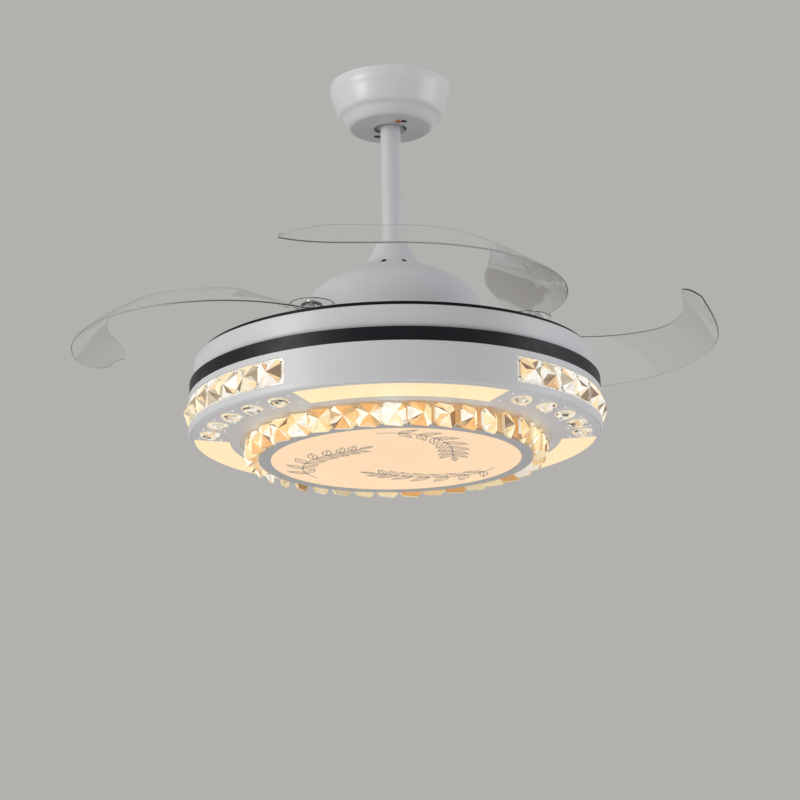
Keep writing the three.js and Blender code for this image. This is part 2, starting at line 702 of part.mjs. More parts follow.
// A gear blank with teeth only where the test says, and a plain rim at root radius elsewhere.
function gearShape(teeth, phase, toothed) {
  const { root, flank } = toothPoints(teeth);
  const step = 2 * Math.PI / teeth;
  const points = [];
  count(teeth).forEach((i) => {
    const centre = phase + i * step;
    if (!toothed(centre)) {
      if (i % 2) points.push([root * Math.cos(centre), root * Math.sin(centre)]);
      return;
    }
    const rise = flank.map(([r, half]) => [r, centre - half]);
    const fall = flank.map(([r, half]) => [r, centre + half]).reverse();
    points.push(...[...rise, ...fall].map(([r, a]) => [r * Math.cos(a), r * Math.sin(a)]));
  });
  return outlineShape(points);
}

const between = (angle, centre, half) => Math.abs(Math.atan2(
  Math.sin(angle - centre), Math.cos(angle - centre),
)) < half;

function syncGear() {
  const pivots = count(PIVOT_COUNT).map((i) => 2 * Math.PI / PIVOT_COUNT * i);
  const step = 2 * Math.PI / SYNC_TEETH;
  const shape = gearShape(SYNC_TEETH, step / 2, (a) => pivots.some((p) => between(a, p, SYNC_SECTOR * DEG)));
  shape.holes.push(new THREE.Path(count(RING_FACETS).map((i) => {
    const [x, y] = polar(syncBoreRadius, -360 / RING_FACETS * i);
    return new THREE.Vector2(x, y);
  })));
  return prism(shape, gearBottom, gearTop);
}

function syncGuide() {
  const outer = flatsOf(syncBoreRadius, RING_FACETS) - GAP;
  return revolve([
    [outer - GUIDE_WALL, guideBottom],
    [outer + GUIDE_LIP, guideBottom],
    [outer + GUIDE_LIP, guideBottom + GUIDE_LIP],
    [outer, guideBottom + GUIDE_LIP],
    [outer, trayBottom - GAP],
    [outer - GUIDE_WALL, trayBottom - GAP],
  ], RING_FACETS);
}

// ---- blade with its boss, gear, bolt and spring, about a pivot at [PIVOT_CIRCLE, 0] --------------
function bladeGear() {
  const blank = prism(gearShape(GEAR_TEETH, Math.PI, (a) => between(a, Math.PI, GEAR_SECTOR * DEG)),
    gearBottom, gearTop);
  const hub = rod(HUB_RADIUS, (gearBottom + gearTop) / 2, hubTop, SMALL_FACETS);
  const bore = rod(BOLT_RADIUS + GAP, gearBottom + BOLT_END_WALL, hubTop + CUT_PAST, HOLE_FACETS);
  return geometryOf(join(solid(blank), [hub]).subtract(solid(bore)));
}

function bladeBolt() {
  const head = bossTop + GAP;
  return revolve([
    [0, gearBottom + BOLT_END_WALL + GAP],
    [BOLT_RADIUS, gearBottom + BOLT_END_WALL + GAP],
    [BOLT_RADIUS, head],
    [BOLT_HEAD_RADIUS, head],
    [BOLT_HEAD_RADIUS, head + BOLT_HEAD_HEIGHT],
    [0, head + BOLT_HEAD_HEIGHT],
  ], HOLE_FACETS);
}

// Torsion spring wound round the gear's hub, between the gear and the tray.
class Coil extends THREE.Curve {
  getPoint(t) {
    const radius = HUB_RADIUS + SPRING_PLAY + SPRING_WIRE / 2;
    const a = 2 * Math.PI * SPRING_TURNS * t;
    const low = gearTop + GAP + SPRING_WIRE / 2;
    return new THREE.Vector3(
      radius * Math.cos(a), radius * Math.sin(a), low + (SPRING_LENGTH - SPRING_WIRE) * t,
    );
  }
}

function returnSpring() {
  const wire = outlineShape(count(4).map((i) => polar(SPRING_WIRE / 2, 90 * i)));
  return outward(new THREE.ExtrudeGeometry(wire, { steps: SPRING_TURNS * 7, extrudePath: new Coil() }));
}

function along(values, t) {
  const i = Math.min(BLADE_STATIONS.findLastIndex((s) => s <= t), BLADE_STATIONS.length - 2);
  const u = (t - BLADE_STATIONS[i]) / (BLADE_STATIONS[i + 1] - BLADE_STATIONS[i]);
  const slope = (k) => {
    const [a, b] = [Math.max(k - 1, 0), Math.min(k + 1, values.length - 1)];
    return (values[b] - values[a]) / (BLADE_STATIONS[b] - BLADE_STATIONS[a]);
  };
  const span = BLADE_STATIONS[i + 1] - BLADE_STATIONS[i];
  const [u2, u3] = [u * u, u * u * u];
  return values[i] * (2 * u3 - 3 * u2 + 1) + values[i + 1] * (3 * u2 - 2 * u3)
    + span * (slope(i) * (u3 - 2 * u2 + u) + slope(i + 1) * (u3 - u2));
}

// A point of the blade's middle surface: t runs from the pivot to the tip, s from outer to inner edge.
function bladePoint(t, s) {
  const radius = BLADE_START_RADIUS + BLADE_RADIUS_GROWTH * t + BLADE_RADIUS_FLARE * t * t;
  const angle = BLADE_START_ANGLE - BLADE_SWEEP * t;
  const [cx, cy] = polar(BLADE_START_RADIUS, BLADE_START_ANGLE);
  const [x, y] = polar(radius - BLADE_WIDTH * along(BLADE_WIDTH_SHARES, t) * s, angle);
  const lift = BLADE_TIP_LIFT * Math.max(0, (t - BLADE_TIP_START) / (1 - BLADE_TIP_START)) ** 2;
  const rise = BLADE_RISE * along(BLADE_RISE_SHARES, t) * (s + BLADE_CAMBER * s * (1 - s));
  return [x - cx, y - cy, trayTop + BLADE_EDGE_HEIGHT + lift + rise];
}

function bladeSheet() {
  const positions = [];
  const index = [];
  const row = BLADE_STRIPS + 1;
  const layer = (BLADE_STEPS + 1) * row;
  [-1, 1].forEach((side) => {
    count(BLADE_STEPS + 1).forEach((i) => count(row).forEach((j) => {
      const [x, y, z] = bladePoint(i / BLADE_STEPS, j / BLADE_STRIPS);
      positions.push(x, y, z + side * BLADE_THICKNESS / 2);
    }));
  });
  const quad = (a, b, c, d) => index.push(a, b, c, a, c, d);
  const at = (i, j) => i * row + j;
  count(BLADE_STEPS).forEach((i) => count(BLADE_STRIPS).forEach((j) => {
    quad(at(i, j), at(i + 1, j), at(i + 1, j + 1), at(i, j + 1));
    quad(layer + at(i, j), layer + at(i, j + 1), layer + at(i + 1, j + 1), layer + at(i + 1, j));
  }));
  count(BLADE_STEPS).forEach((i) => {
    quad(at(i, 0), layer + at(i, 0), layer + at(i + 1, 0), at(i + 1, 0));
    quad(at(i, BLADE_STRIPS), at(i + 1, BLADE_STRIPS), layer + at(i + 1, BLADE_STRIPS), layer + at(i, BLADE_STRIPS));
  });
  count(BLADE_STRIPS).forEach((j) => {
    quad(at(0, j), at(0, j + 1), layer + at(0, j + 1), layer + at(0, j));
    const n = BLADE_STEPS;
    quad(at(n, j), layer + at(n, j), layer + at(n, j + 1), at(n, j + 1));
  });
  const g = new THREE.BufferGeometry();
  g.setAttribute('position', new THREE.Float32BufferAttribute(positions, 3));
  g.setIndex(index);
  return g;
}

function blade() {
  const boss = rod(BOSS_RADIUS, bossBottom, bossTop, BOSS_FACETS);
  const above = trayTop + BLADE_CLEAR_HEIGHT;
  const hubSocket = rod(HUB_RADIUS + GAP, bossBottom - CUT_PAST, hubTop + GAP, SMALL_FACETS);
  const boltHole = rod(BOLT_RADIUS + GAP, bossBottom, above, HOLE_FACETS);
  const headRoom = rod(BOLT_HEAD_RADIUS + BOLT_HEAD_PLAY, bossTop, above, HOLE_FACETS);
  const body = join(solid(bladeSheet()), [boss]);
  return geometryOf([hubSocket, boltHole, headRoom].reduce((b, tool) => b.subtract(solid(tool)), body));
}

// ---- lamp body: pan, three outer rings, reflector and light source ------------------------------
function lampPan() {
  const dish = revolve([
    [SHAFT_RADIUS + GAP, panBottom],
    [panRadius - SHEET, panBottom],
    [panRadius - SHEET, flangeTop - SHEET],
    [panRadius + PAN_FLANGE, flangeTop - SHEET],
    [panRadius + PAN_FLANGE, flangeTop],
    [panRadius, flangeTop],
    [panRadius, panTop],
    [SHAFT_RADIUS + GAP, panTop],
  ], INNER_FACETS);
  const holes = postPlaces().map(([x, y]) => rod(
    POST_RADIUS + GAP, panBottom - CUT_PAST, panTop + CUT_PAST, HOLE_FACETS, x, y,
  ));
  return geometryOf(cut(dish, holes));
}

function postPlaces() {
  return count(POSTS).map((i) => polar(POST_CIRCLE, 360 / POSTS * (i + 0.5)));
}

function shaftNut() {
  return tube(SHAFT_RADIUS + GAP, NUT_RADIUS, panBottom - GAP - NUT_HEIGHT, panBottom - GAP, SMALL_FACETS);
}

const flangeInner = panRadius + FLANGE_PLAY;

function upperRing() {
  const top = trayBottom - RUNNING_GAP;
  const [r, inner] = [upperRadius, upperRadius - SHEET];
  return revolve([
    [flangeInner, upperRingBottom],
    [r - UPPER_FOOT_INSET, upperRingBottom],
    [r, upperRingBottom + UPPER_FOOT_HEIGHT],
    [r, top - UPPER_RING_ROUND],
    [r - UPPER_RING_ROUND, top],
    [inner, top],
    [inner, upperRingBottom + SHEET],
    [flangeInner, upperRingBottom + SHEET],
  ], RING_FACETS);
}

function accentBand() {
  const [r, inner] = [bandRadius, bandRadius - SHEET];
  return revolve([
    [inner, bandBottom],
    [r, bandBottom],
    [r, bandTop],
    [flangeInner, bandTop],
    [flangeInner, bandTop - SHEET],
    [inner, bandTop - SHEET],
  ], RING_FACETS);
}

const lowerRingBore = LAMP_RADIUS - LOWER_RING_WALL;
const sectorAngle = (i, offset) => -90 + 360 / SECTOR_COUNT * i + offset;
const windowBottom = lowerRingBottom + WINDOW_SILL;

function lowerRing() {
  const r = LAMP_RADIUS;
  const corner = count(3).map((i) => {
    const a = 90 * i / 2 * DEG;
    return [r - LOWER_RING_CORNER * (1 - Math.cos(a)), lowerRingBottom + LOWER_RING_CORNER * (1 - Math.sin(a))];
  });
  const shell = revolve([
    [r, lowerRingTop],
    ...corner,
    [r - LOWER_RING_CORNER, lowerRingBottom + LOWER_RING_WALL],
    [lowerRingBore, lowerRingBottom + LOWER_RING_CORNER],
    [lowerRingBore, lowerRingTop - LOWER_RING_WALL],
    [flangeInner, lowerRingTop - LOWER_RING_WALL],
    [flangeInner, lowerRingTop],
  ], RING_FACETS);
  const windows = count(SECTOR_COUNT).map((i) => prism(
    sectorShape(lowerRingBore - r / RING_FACETS, r + CUT_PAST, sectorAngle(i, 180 / SECTOR_COUNT), WINDOW_ANGLE,
      WINDOW_TILES),
    windowBottom, windowBottom + WINDOW_HEIGHT,
  ));
  return geometryOf(cut(shell, windows));
}

// Crystal tiles side by side on an arc or a whole circle: each front is a pyramid, and all share one inner wall.
function tileRow({ inner, face, tip, start, pitch, tiles, bottom, top }) {
  const whole = pitch * tiles > 359.9;
  const seams = whole ? tiles : tiles + 1;
  const corners = count(seams).flatMap((i) => [[inner, bottom], [inner, top], [face, bottom], [face, top]]
    .map(([r, z]) => [...polar(r, start + pitch * i), z]));
  const tips = count(tiles).map((i) => [...polar(tip, start + pitch * (i + 0.5)), (bottom + top) / 2]);
  const index = count(tiles).flatMap((i) => {
    const [a, b, c, d] = count(4).map((k) => 4 * i + k);
    const [e, f, g, h] = count(4).map((k) => 4 * ((i + 1) % seams) + k);
    const t = 4 * seams + i;
    return [c, g, t, g, h, t, h, d, t, d, c, t, a, f, e, a, b, f, a, e, g, a, g, c, b, d, h, b, h, f];
  });
  const [p, q, r, s] = count(4).map((k) => 4 * (seams - 1) + k);
  const ends = whole ? [] : [0, 2, 3, 0, 3, 1, p, s, r, p, q, s];
  const g = new THREE.BufferGeometry();
  g.setAttribute('position', new THREE.Float32BufferAttribute([...corners, ...tips].flat(), 3));
  g.setIndex([...index, ...ends]);
  return g;
}

function windowCrystals(i) {
  const centre = sectorAngle(i, 180 / SECTOR_COUNT);
  const clear = WINDOW_ANGLE - GAP;
  const back = flatsOf(lowerRingBore, RING_FACETS) - GAP - WINDOW_BACKING;
  const strip = prism(sectorShape(back, back + WINDOW_BACKING, centre, clear + WINDOW_LAP_ANGLE, WINDOW_TILES),
    windowBottom - WINDOW_LAP, windowBottom + WINDOW_HEIGHT + WINDOW_LAP);
  const tiles = tileRow({
    inner: back + WINDOW_BACKING / 2,
    face: LAMP_RADIUS,
    tip: LAMP_RADIUS + WINDOW_TILE_PROUD,
    start: centre - clear / 2,
    pitch: clear / WINDOW_TILES,
    tiles: WINDOW_TILES,
    bottom: windowBottom + GAP,
    top: windowBottom + WINDOW_HEIGHT - GAP,
  });
  return geometryOf(join(solid(strip), [tiles]));
}

// ---- bottom plate with its lit panels and crystal studs -----------------------------------------
// Lets a piece down onto the slope of the bottom plate.
function dished(geometry) {
  const p = geometry.attributes.position;
  for (let i = 0; i < p.count; i += 1) {
    p.setZ(i, p.getZ(i) - dishAt(Math.hypot(p.getX(i), p.getY(i))));
  }
  return geometry;
}

// A flat annular sector whose faces are made of one quadrilateral for each step, so that it can be dished.
function sectorPlate({ inner, outer, centre, width, steps, bottom, top }) {
  const arcs = [[inner, bottom], [outer, bottom], [outer, top], [inner, top]];
  const points = count(steps + 1).flatMap((i) => arcs
    .map(([r, z]) => [...polar(r, centre - width / 2 + width * i / steps), z]));
  const sides = count(steps).flatMap((i) => count(4).flatMap((k) => {
    const [a, b] = [4 * i + k, 4 * i + (k + 1) % 4];
    return [a, a + 4, b + 4, a, b + 4, b];
  }));
  const last = 4 * steps;
  const g = new THREE.BufferGeometry();
  g.setAttribute('position', new THREE.Float32BufferAttribute(points.flat(), 3));
  g.setIndex([...sides, 0, 1, 2, 0, 2, 3, last, last + 2, last + 1, last, last + 3, last + 2]);
  return dished(g);
}

function bottomPlate() {
  const rimTop = lowerRingBottom + LOWER_RING_CORNER + GAP;
  const dish = dishAt(plateBore);
  const plate = revolve([
    [plateBore, plateBottom - dish],
    [plateRadius - PLATE_CHAMFER, plateBottom - dishAt(plateRadius - PLATE_CHAMFER)],
    [plateRadius, plateBottom + PLATE_CHAMFER],
    [plateRadius, rimTop],
    [plateRadius - SHEET, rimTop],
    [plateRadius - SHEET, plateTop - dishAt(plateRadius - SHEET)],
    [plateBore, plateTop - dish],
  ], RING_FACETS);
  const [below, above] = [plateBottom - dish - CUT_PAST, plateTop + CUT_PAST];
  const openings = count(SECTOR_COUNT).map((i) => prism(
    sectorShape(panelInner, panelOuter, sectorAngle(i, 0), PANEL_ANGLE, PANEL_STEPS), below, above,
  ));
  const stemHoles = count(SECTOR_COUNT).flatMap((i) => studPlaces(i).map(([x, y]) => rod(
    clearHole(STUD_STEM_RADIUS, 6), below, above, 6, x, y,
  )));
  return geometryOf(cut(plate, [...openings, ...stemHoles]));
}

function studPlaces(i) {
  const middle = sectorAngle(i, 180 / SECTOR_COUNT);
  return count(STUDS).map((k) => polar(studCircle, middle + STUD_PITCH * (k - (STUDS - 1) / 2)));
}

function lightPanel(i) {
  const centre = sectorAngle(i, 0);
  const inset = 2 * GAP / panelInner / DEG;
  const face = sectorPlate({
    inner: panelInner + 2 * GAP,
    outer: panelOuter - 2 * GAP,
    centre,
    width: PANEL_ANGLE - inset,
    steps: PANEL_STEPS,
    bottom: plateBottom,
    top: plateTop + GAP + PANEL_BACK / 2,
  });
  const back = sectorPlate({
    inner: panelInner - PANEL_LEDGE,
    outer: rimBore - GAP,
    centre,
    width: PANEL_ANGLE + 2 * PANEL_LEDGE_ANGLE,
    steps: PANEL_STEPS,
    bottom: plateTop + GAP,
    top: plateTop + GAP + PANEL_BACK,
  });
  return geometryOf(join(solid(face), [back]));
}

// Five cut crystals whose stems pass through the plate into one strip behind it.
function studStrip(i) {
  const strip = sectorPlate({
    inner: studCircle - STRIP_WIDTH / 2,
    outer: studCircle + STRIP_WIDTH / 2,
    centre: sectorAngle(i, 180 / SECTOR_COUNT),
    width: STUD_PITCH * (STUDS - 1) + 2 * STRIP_END_ANGLE,
    steps: STUDS - 1,
    bottom: plateTop + GAP,
    top: plateTop + GAP + STRIP_THICKNESS,
  });
  const face = plateBottom - GAP;
  const stemTop = plateTop + GAP + STRIP_THICKNESS / 2;
  const studs = studPlaces(i).map(([x, y]) => {
    const stud = revolve([
      [0, face - STUD_HEIGHT],
      [STUD_TABLE_RADIUS, face - STUD_HEIGHT],
      [STUD_RADIUS, face],
      [STUD_STEM_RADIUS, face],
      [STUD_STEM_RADIUS, stemTop],
      [0, stemTop],
    ], HOLE_FACETS);
    stud.translate(x, y, 0);
    return dished(stud);
  });
  return geometryOf(join(solid(strip), studs));
}

// ---- centre disc --------------------------------------------------------------------------------
function discCarrier() {
  const r = carrierRadius;
  const flange = plateBore + CARRIER_FLANGE;
  return revolve([
    [r - CARRIER_LIP, carrierBottom],
    [r, carrierBottom],
    [r, carrierTop - SHEET],
    [flange, carrierTop - SHEET],
    [flange, carrierTop],
    [r - SHEET, carrierTop],
    [r - SHEET, carrierBottom + SHEET],
    [r - CARRIER_LIP, carrierBottom + SHEET],
  ], INNER_FACETS);
}

const borderTop = carrierBottom - GAP;
const borderBottom = borderTop - DISC_THICKNESS;

function discBorder() {
  const rebate = discRadius + DISC_REBATE;
  return revolve([
    [discRadius, borderBottom],
    [borderRadius, borderBottom],
    [borderRadius, borderTop],
    [rebate, borderTop],
    [rebate, borderBottom + DISC_LIP],
    [discRadius, borderBottom + DISC_LIP],
  ], RING_FACETS);
}

function discPanel() {
  return rod(discRadius + DISC_REBATE - GAP, borderBottom + DISC_LIP + GAP, borderTop, RING_FACETS);
}

// Cut crystal tiles edge to edge round the disc.
function crystalRing() {
  const inner = clearHole(carrierRadius, RING_TILES);
  return tileRow({
    inner,
    face: inner + RING_TILE_DEPTH,
    tip: inner + RING_TILE_DEPTH + RING_PROUD,
    start: 0,
    pitch: 360 / RING_TILES,
    tiles: RING_TILES,
    bottom: ringTileTop - RING_TILE_HEIGHT,
    top: ringTileTop,
  });
}

// ---- reflector, light source and driver ---------------------------------------------------------
const reflectorTop = panBottom - REFLECTOR_DROP;

function reflectorPlate() {
  const plate = rod(reflectorRadius, reflectorTop - SHEET, reflectorTop, INNER_FACETS);
  const posts = postPlaces().map(([x, y]) => {
    const post = revolve([
      [0, reflectorTop - SHEET / 2],
      [POST_RADIUS, reflectorTop - SHEET / 2],
      [POST_RADIUS, panTop + GAP],
      [POST_HEAD_RADIUS, panTop + GAP],
      [POST_HEAD_RADIUS, panTop + GAP + POST_HEAD_HEIGHT],
      [0, panTop + GAP + POST_HEAD_HEIGHT],
    ], HOLE_FACETS);
    post.translate(x, y, 0);
    return post;
  });
  return geometryOf(join(solid(plate), posts));
}

function ledBoard() {
  const top = reflectorTop - SHEET - GAP;
  return tube(LED_BOARD_INNER, reflectorRadius - LED_BOARD_MARGIN, top - SHEET, top, INNER_FACETS);
}

function driverBox() {
  return block(DRIVER_LENGTH, DRIVER_WIDTH, DRIVER_HEIGHT,
    0, DRIVER_OFFSET, reflectorTop + GAP + DRIVER_HEIGHT / 2);
}

// ---- assembly -----------------------------------------------------------------------------------
const [screwPlace1, screwPlace2] = canopyScrewPlaces();
const ceilingMount = group([
  named('hanger_bracket', hangerBracket(), galvanised()),
  named('canopy', canopy(), whitePaint()),
  named('canopy_screw_1', canopyScrew(screwPlace1), finish(0xb87333, 0.35, 1)),
  named('canopy_screw_2', canopyScrew(screwPlace2), finish(0xb87333, 0.35, 1)),
]);

const hanger = group([
  named('hanger_ball', hangerBall(), galvanised()),
  named('hanger_pin', crossRod(PIN_RADIUS, hangerPinLength, hangerPinZ), steel()),
  named('downrod', downrod(), whitePaint()),
  named('rod_coupling', rodCoupling(), steel()),
  named('coupling_pin', crossRod(PIN_RADIUS, 2 * (couplingRadius + COUPLING_PIN_PROUD), couplingPinZ), steel()),
  named('motor_cover', motorCover(), whitePaint()),
  named('motor_shaft', tube(SHAFT_BORE_RADIUS, SHAFT_RADIUS, shaftBottom, shaftTop, SMALL_FACETS), steel()),
  named('stator', stator(), finish(0xa35a2a, 0.5, 0.6)),
]);

const bearingInset = MOTOR_WALL + GAP;
const rotor = group([
  named('motor_shell_lower', motorShell([motorBottom, motorSplit]), finish(0xc7c9cb, 0.4, 0.9)),
  named('motor_shell_upper', motorShell([motorTop, motorSplit + GAP]), finish(0xc7c9cb, 0.4, 0.9)),
  named('bearing_lower', bearing(motorBottom + bearingInset), steel()),
  named('bearing_upper', bearing(motorTop - bearingInset - BEARING_HEIGHT), steel()),
  named('magnet_ring', magnetRing(), nylon()),
  named('blade_tray', rotorTray(), blackPaint()),
  named('sync_gear', syncGear(), nylon()),
  named('sync_guide', syncGuide(), steel()),
], PIVOT_ANGLE);

const blades = count(PIVOT_COUNT).map((i) => {
  const atPivot = new THREE.Group();
  const [x, y] = polar(PIVOT_CIRCLE, PIVOT_ANGLE + 360 / PIVOT_COUNT * i);
  atPivot.add(
    named(`blade_${i + 1}`, blade(), clearPlastic()),
    named(`blade_gear_${i + 1}`, bladeGear(), nylon()),
    named(`blade_bolt_${i + 1}`, bladeBolt(), steel()),
    named(`return_spring_${i + 1}`, returnSpring(), steel()),
  );
  atPivot.position.set(x, y, 0);
  atPivot.rotation.z = (PIVOT_ANGLE + 360 / PIVOT_COUNT * i) * DEG;
  return atPivot;
});

const lampBody = group([
  named('lamp_pan', lampPan(), galvanised()),
  named('shaft_nut', shaftNut(), steel()),
  named('upper_ring', upperRing(), whitePaint()),
  named('accent_band', accentBand(), blackGloss()),
  named('lower_ring', lowerRing(), whitePaint()),
  named('reflector_plate', reflectorPlate(), finish(0xf4f4f2, 0.6, 0)),
  named('led_board', ledBoard(), finish(0xf6f1e4, 0.5, 0)),
  named('led_driver', driverBox(), finish(0xdedede, 0.5, 0)),
  named('bottom_plate', bottomPlate(), whitePaint()),
  named('disc_carrier', discCarrier(), galvanised()),
  named('disc_border', discBorder(), finish(0xa8a8a8, 0.4, 0.6)),
  named('disc_panel', discPanel(), litAcrylic()),
  named('crystal_ring', crystalRing(), crystal()),
  ...count(SECTOR_COUNT).flatMap((i) => [
    named(`window_crystals_${i + 1}`, windowCrystals(i), crystal()),
    named(`light_panel_${i + 1}`, lightPanel(i), litAcrylic()),
    named(`stud_strip_${i + 1}`, studStrip(i), crystal()),
  ]),
], LAMP_TURN);

const fan = new THREE.Group();
fan.add(ceilingMount, hanger, rotor, ...blades, lampBody);
fan.updateMatrixWorld(true);

export default fan;
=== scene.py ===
import math
import random

import bmesh
import bpy
from mathutils import Matrix, Vector


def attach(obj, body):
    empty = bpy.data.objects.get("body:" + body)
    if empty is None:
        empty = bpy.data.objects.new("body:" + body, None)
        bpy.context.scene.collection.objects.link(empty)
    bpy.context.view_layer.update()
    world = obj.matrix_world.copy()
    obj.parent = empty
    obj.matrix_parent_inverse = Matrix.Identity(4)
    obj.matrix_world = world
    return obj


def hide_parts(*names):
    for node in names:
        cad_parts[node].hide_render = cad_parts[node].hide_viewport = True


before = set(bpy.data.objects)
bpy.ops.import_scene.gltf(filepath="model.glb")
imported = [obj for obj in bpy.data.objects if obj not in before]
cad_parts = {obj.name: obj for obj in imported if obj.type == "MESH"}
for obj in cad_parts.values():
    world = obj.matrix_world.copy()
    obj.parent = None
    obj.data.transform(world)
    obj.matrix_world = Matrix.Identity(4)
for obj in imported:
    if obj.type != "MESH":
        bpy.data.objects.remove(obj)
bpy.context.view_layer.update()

scene = bpy.context.scene
scene.view_settings.view_transform = "Standard"

# ---- Camera ---------------------------------------------------------------------------------------
# It stands three metres in front of the fan and under it, and looks up at the lamp body and the
# blades. The small roll is the photograph's own tilt.
CAMERA_AT = (0.0, -3.0531, -1.2596)
CAMERA_YAW, CAMERA_PITCH, CAMERA_ROLL = 0.0019082, 0.2717660, -0.0183804

camera = bpy.data.objects.new("camera", bpy.data.cameras.new("camera"))
scene.collection.objects.link(camera)
camera.data.lens = 117.49
camera.data.sensor_width = 36.0
level = Matrix.Rotation(-CAMERA_YAW, 4, "Z")
upright = Matrix.Rotation(math.pi / 2 + CAMERA_PITCH, 4, "X")
camera.matrix_world = Matrix.Translation(CAMERA_AT) @ level @ upright @ Matrix.Rotation(CAMERA_ROLL, 4, "Z")
scene.camera = camera

# ---- Studio ---------------------------------------------------------------------------------------
# A pale floor well under the fan, an even sky of light, a large soft lamp on each side, and a weak
# one on the floor. The grey behind everything is seen by the camera, in gloss and in glass.
FLOOR_HEIGHT = -1.62
BACKDROP = (0.452, 0.440, 0.423, 1)
FLOOR_COLOUR = (0.60, 0.59, 0.57, 1)


def pale_floor():
    mat = bpy.data.materials.new("pale_floor")
    mat.use_nodes = True
    nodes, links = mat.node_tree.nodes, mat.node_tree.links
    shader = nodes["Principled BSDF"]
    shader.inputs["Roughness"].default_value = 0.75
    place = nodes.new("ShaderNodeTexCoord")
    noise = nodes.new("ShaderNodeTexNoise")
    noise.inputs["Scale"].default_value = 3.0
    ramp = nodes.new("ShaderNodeValToRGB")
    ramp.color_ramp.elements[0].color = [c * 0.97 for c in FLOOR_COLOUR[:3]] + [1]
    ramp.color_ramp.elements[1].color = FLOOR_COLOUR
    links.new(place.outputs["Object"], noise.inputs["Vector"])
    links.new(noise.outputs["Fac"], ramp.inputs["Fac"])
    links.new(ramp.outputs["Color"], shader.inputs["Base Color"])
    return mat


bm = bmesh.new()
bmesh.ops.create_grid(bm, x_segments=1, y_segments=1, size=9.0)
bmesh.ops.translate(bm, verts=bm.verts, vec=(0, 0, FLOOR_HEIGHT))
floor_mesh = bpy.data.meshes.new("floor")
bm.to_mesh(floor_mesh)
bm.free()
floor_mesh.materials.append(pale_floor())
floor = bpy.data.objects.new("floor", floor_mesh)
scene.collection.objects.link(floor)

world = bpy.data.worlds.new("studio")
scene.world = world
world.use_nodes = True
sky, wires = world.node_tree.nodes, world.node_tree.links
sky.clear()
seen = sky.new("ShaderNodeLightPath")
either = sky.new("ShaderNodeMath")
either.operation = "MAXIMUM"
any_of = sky.new("ShaderNodeMath")
any_of.operation = "MAXIMUM"
wires.new(seen.outputs["Is Camera Ray"], either.inputs[0])
wires.new(seen.outputs["Is Glossy Ray"], either.inputs[1])
wires.new(either.outputs[0], any_of.inputs[0])
wires.new(seen.outputs["Is Transmission Ray"], any_of.inputs[1])
light = sky.new("ShaderNodeBackground")
light.inputs["Color"].default_value = (0.97, 0.98, 1.0, 1)
light.inputs["Strength"].default_value = 0.43
grey = sky.new("ShaderNodeBackground")
grey.inputs["Color"].default_value = BACKDROP
grey.inputs["Strength"].default_value = 1.0
chosen = sky.new("ShaderNodeMixShader")
out = sky.new("ShaderNodeOutputWorld")
wires.new(any_of.outputs[0], chosen.inputs["Fac"])
wires.new(light.outputs[0], chosen.inputs[1])
wires.new(grey.outputs[0], chosen.inputs[2])
wires.new(chosen.outputs[0], out.inputs["Surface"])


def soft_lamp(name, at, aim, size, watts, colour):
    lamp = bpy.data.objects.new(name, bpy.data.lights.new(name, "AREA"))
    lamp.data.shape = "RECTANGLE"
    lamp.data.size, lamp.data.size_y = size
    lamp.data.energy = watts
    lamp.data.color = colour
    lamp.location = at
    lamp.rotation_mode = "QUATERNION"
    lamp.rotation_quaternion = (Vector(aim) - Vector(at)).to_track_quat("-Z", "Y")
    lamp.visible_camera = False
    lamp.visible_transmission = False
    scene.collection.objects.link(lamp)


soft_lamp("left_window", (-2.8, -1.8, -0.1), (0, 0, -0.35), (1.4, 1.4), 44, (1.0, 0.985, 0.965))
soft_lamp("right_wall", (2.9, -0.4, -0.3), (0, 0, -0.35), (1.8, 1.8), 24, (0.96, 0.955, 1.0))
soft_lamp("floor_bounce", (0, -0.1, -1.55), (0, 0, -0.3), (2.4, 1.8), 7, (1.0, 0.98, 0.96))

# ---- Hanger bracket -------------------------------------------------------------------------------
# A stamped and zinc-coated steel bar on the ceiling, with two straps down to the seat of the ball.
# The CAD solid is right as it is and only gets its zinc spangle, much darker than the ball's zinc as painted shade,
# for the shadow it lies in inside the canopy.
MM = 0.001


def shader_of(mat):
    return mat.node_tree.nodes["Principled BSDF"]


def new_finish(name, colour, roughness, metallic=0.0):
    """A material whose shader holds, on its sockets, what is the same all over."""
    mat = bpy.data.materials.new(name)
    mat.use_nodes = True
    shader = shader_of(mat)
    shader.inputs["Base Color"].default_value = (*colour, 1)
    shader.inputs["Roughness"].default_value = roughness
    shader.inputs["Metallic"].default_value = metallic
    mat.diffuse_color = (*colour, 1)
    return mat


def grain(mat, scale, stretch=(1, 1, 1), detail=3.0, cells=False):
    """The output of a noise or cell pattern that lies in the piece at its real size."""
    nodes, links = mat.node_tree.nodes, mat.node_tree.links
    place = nodes.new("ShaderNodeTexCoord")
    fit = nodes.new("ShaderNodeMapping")
    fit.inputs["Scale"].default_value = stretch
    links.new(place.outputs["Object"], fit.inputs["Vector"])
    if cells:
        pattern = nodes.new("ShaderNodeTexVoronoi")
        pattern.inputs["Scale"].default_value = scale
        links.new(fit.outputs["Vector"], pattern.inputs["Vector"])
        return pattern.outputs["Color"]
    pattern = nodes.new("ShaderNodeTexNoise")
    pattern.inputs["Scale"].default_value = scale
    pattern.inputs["Detail"].default_value = detail
    links.new(fit.outputs["Vector"], pattern.inputs["Vector"])
    return pattern.outputs["Fac"]


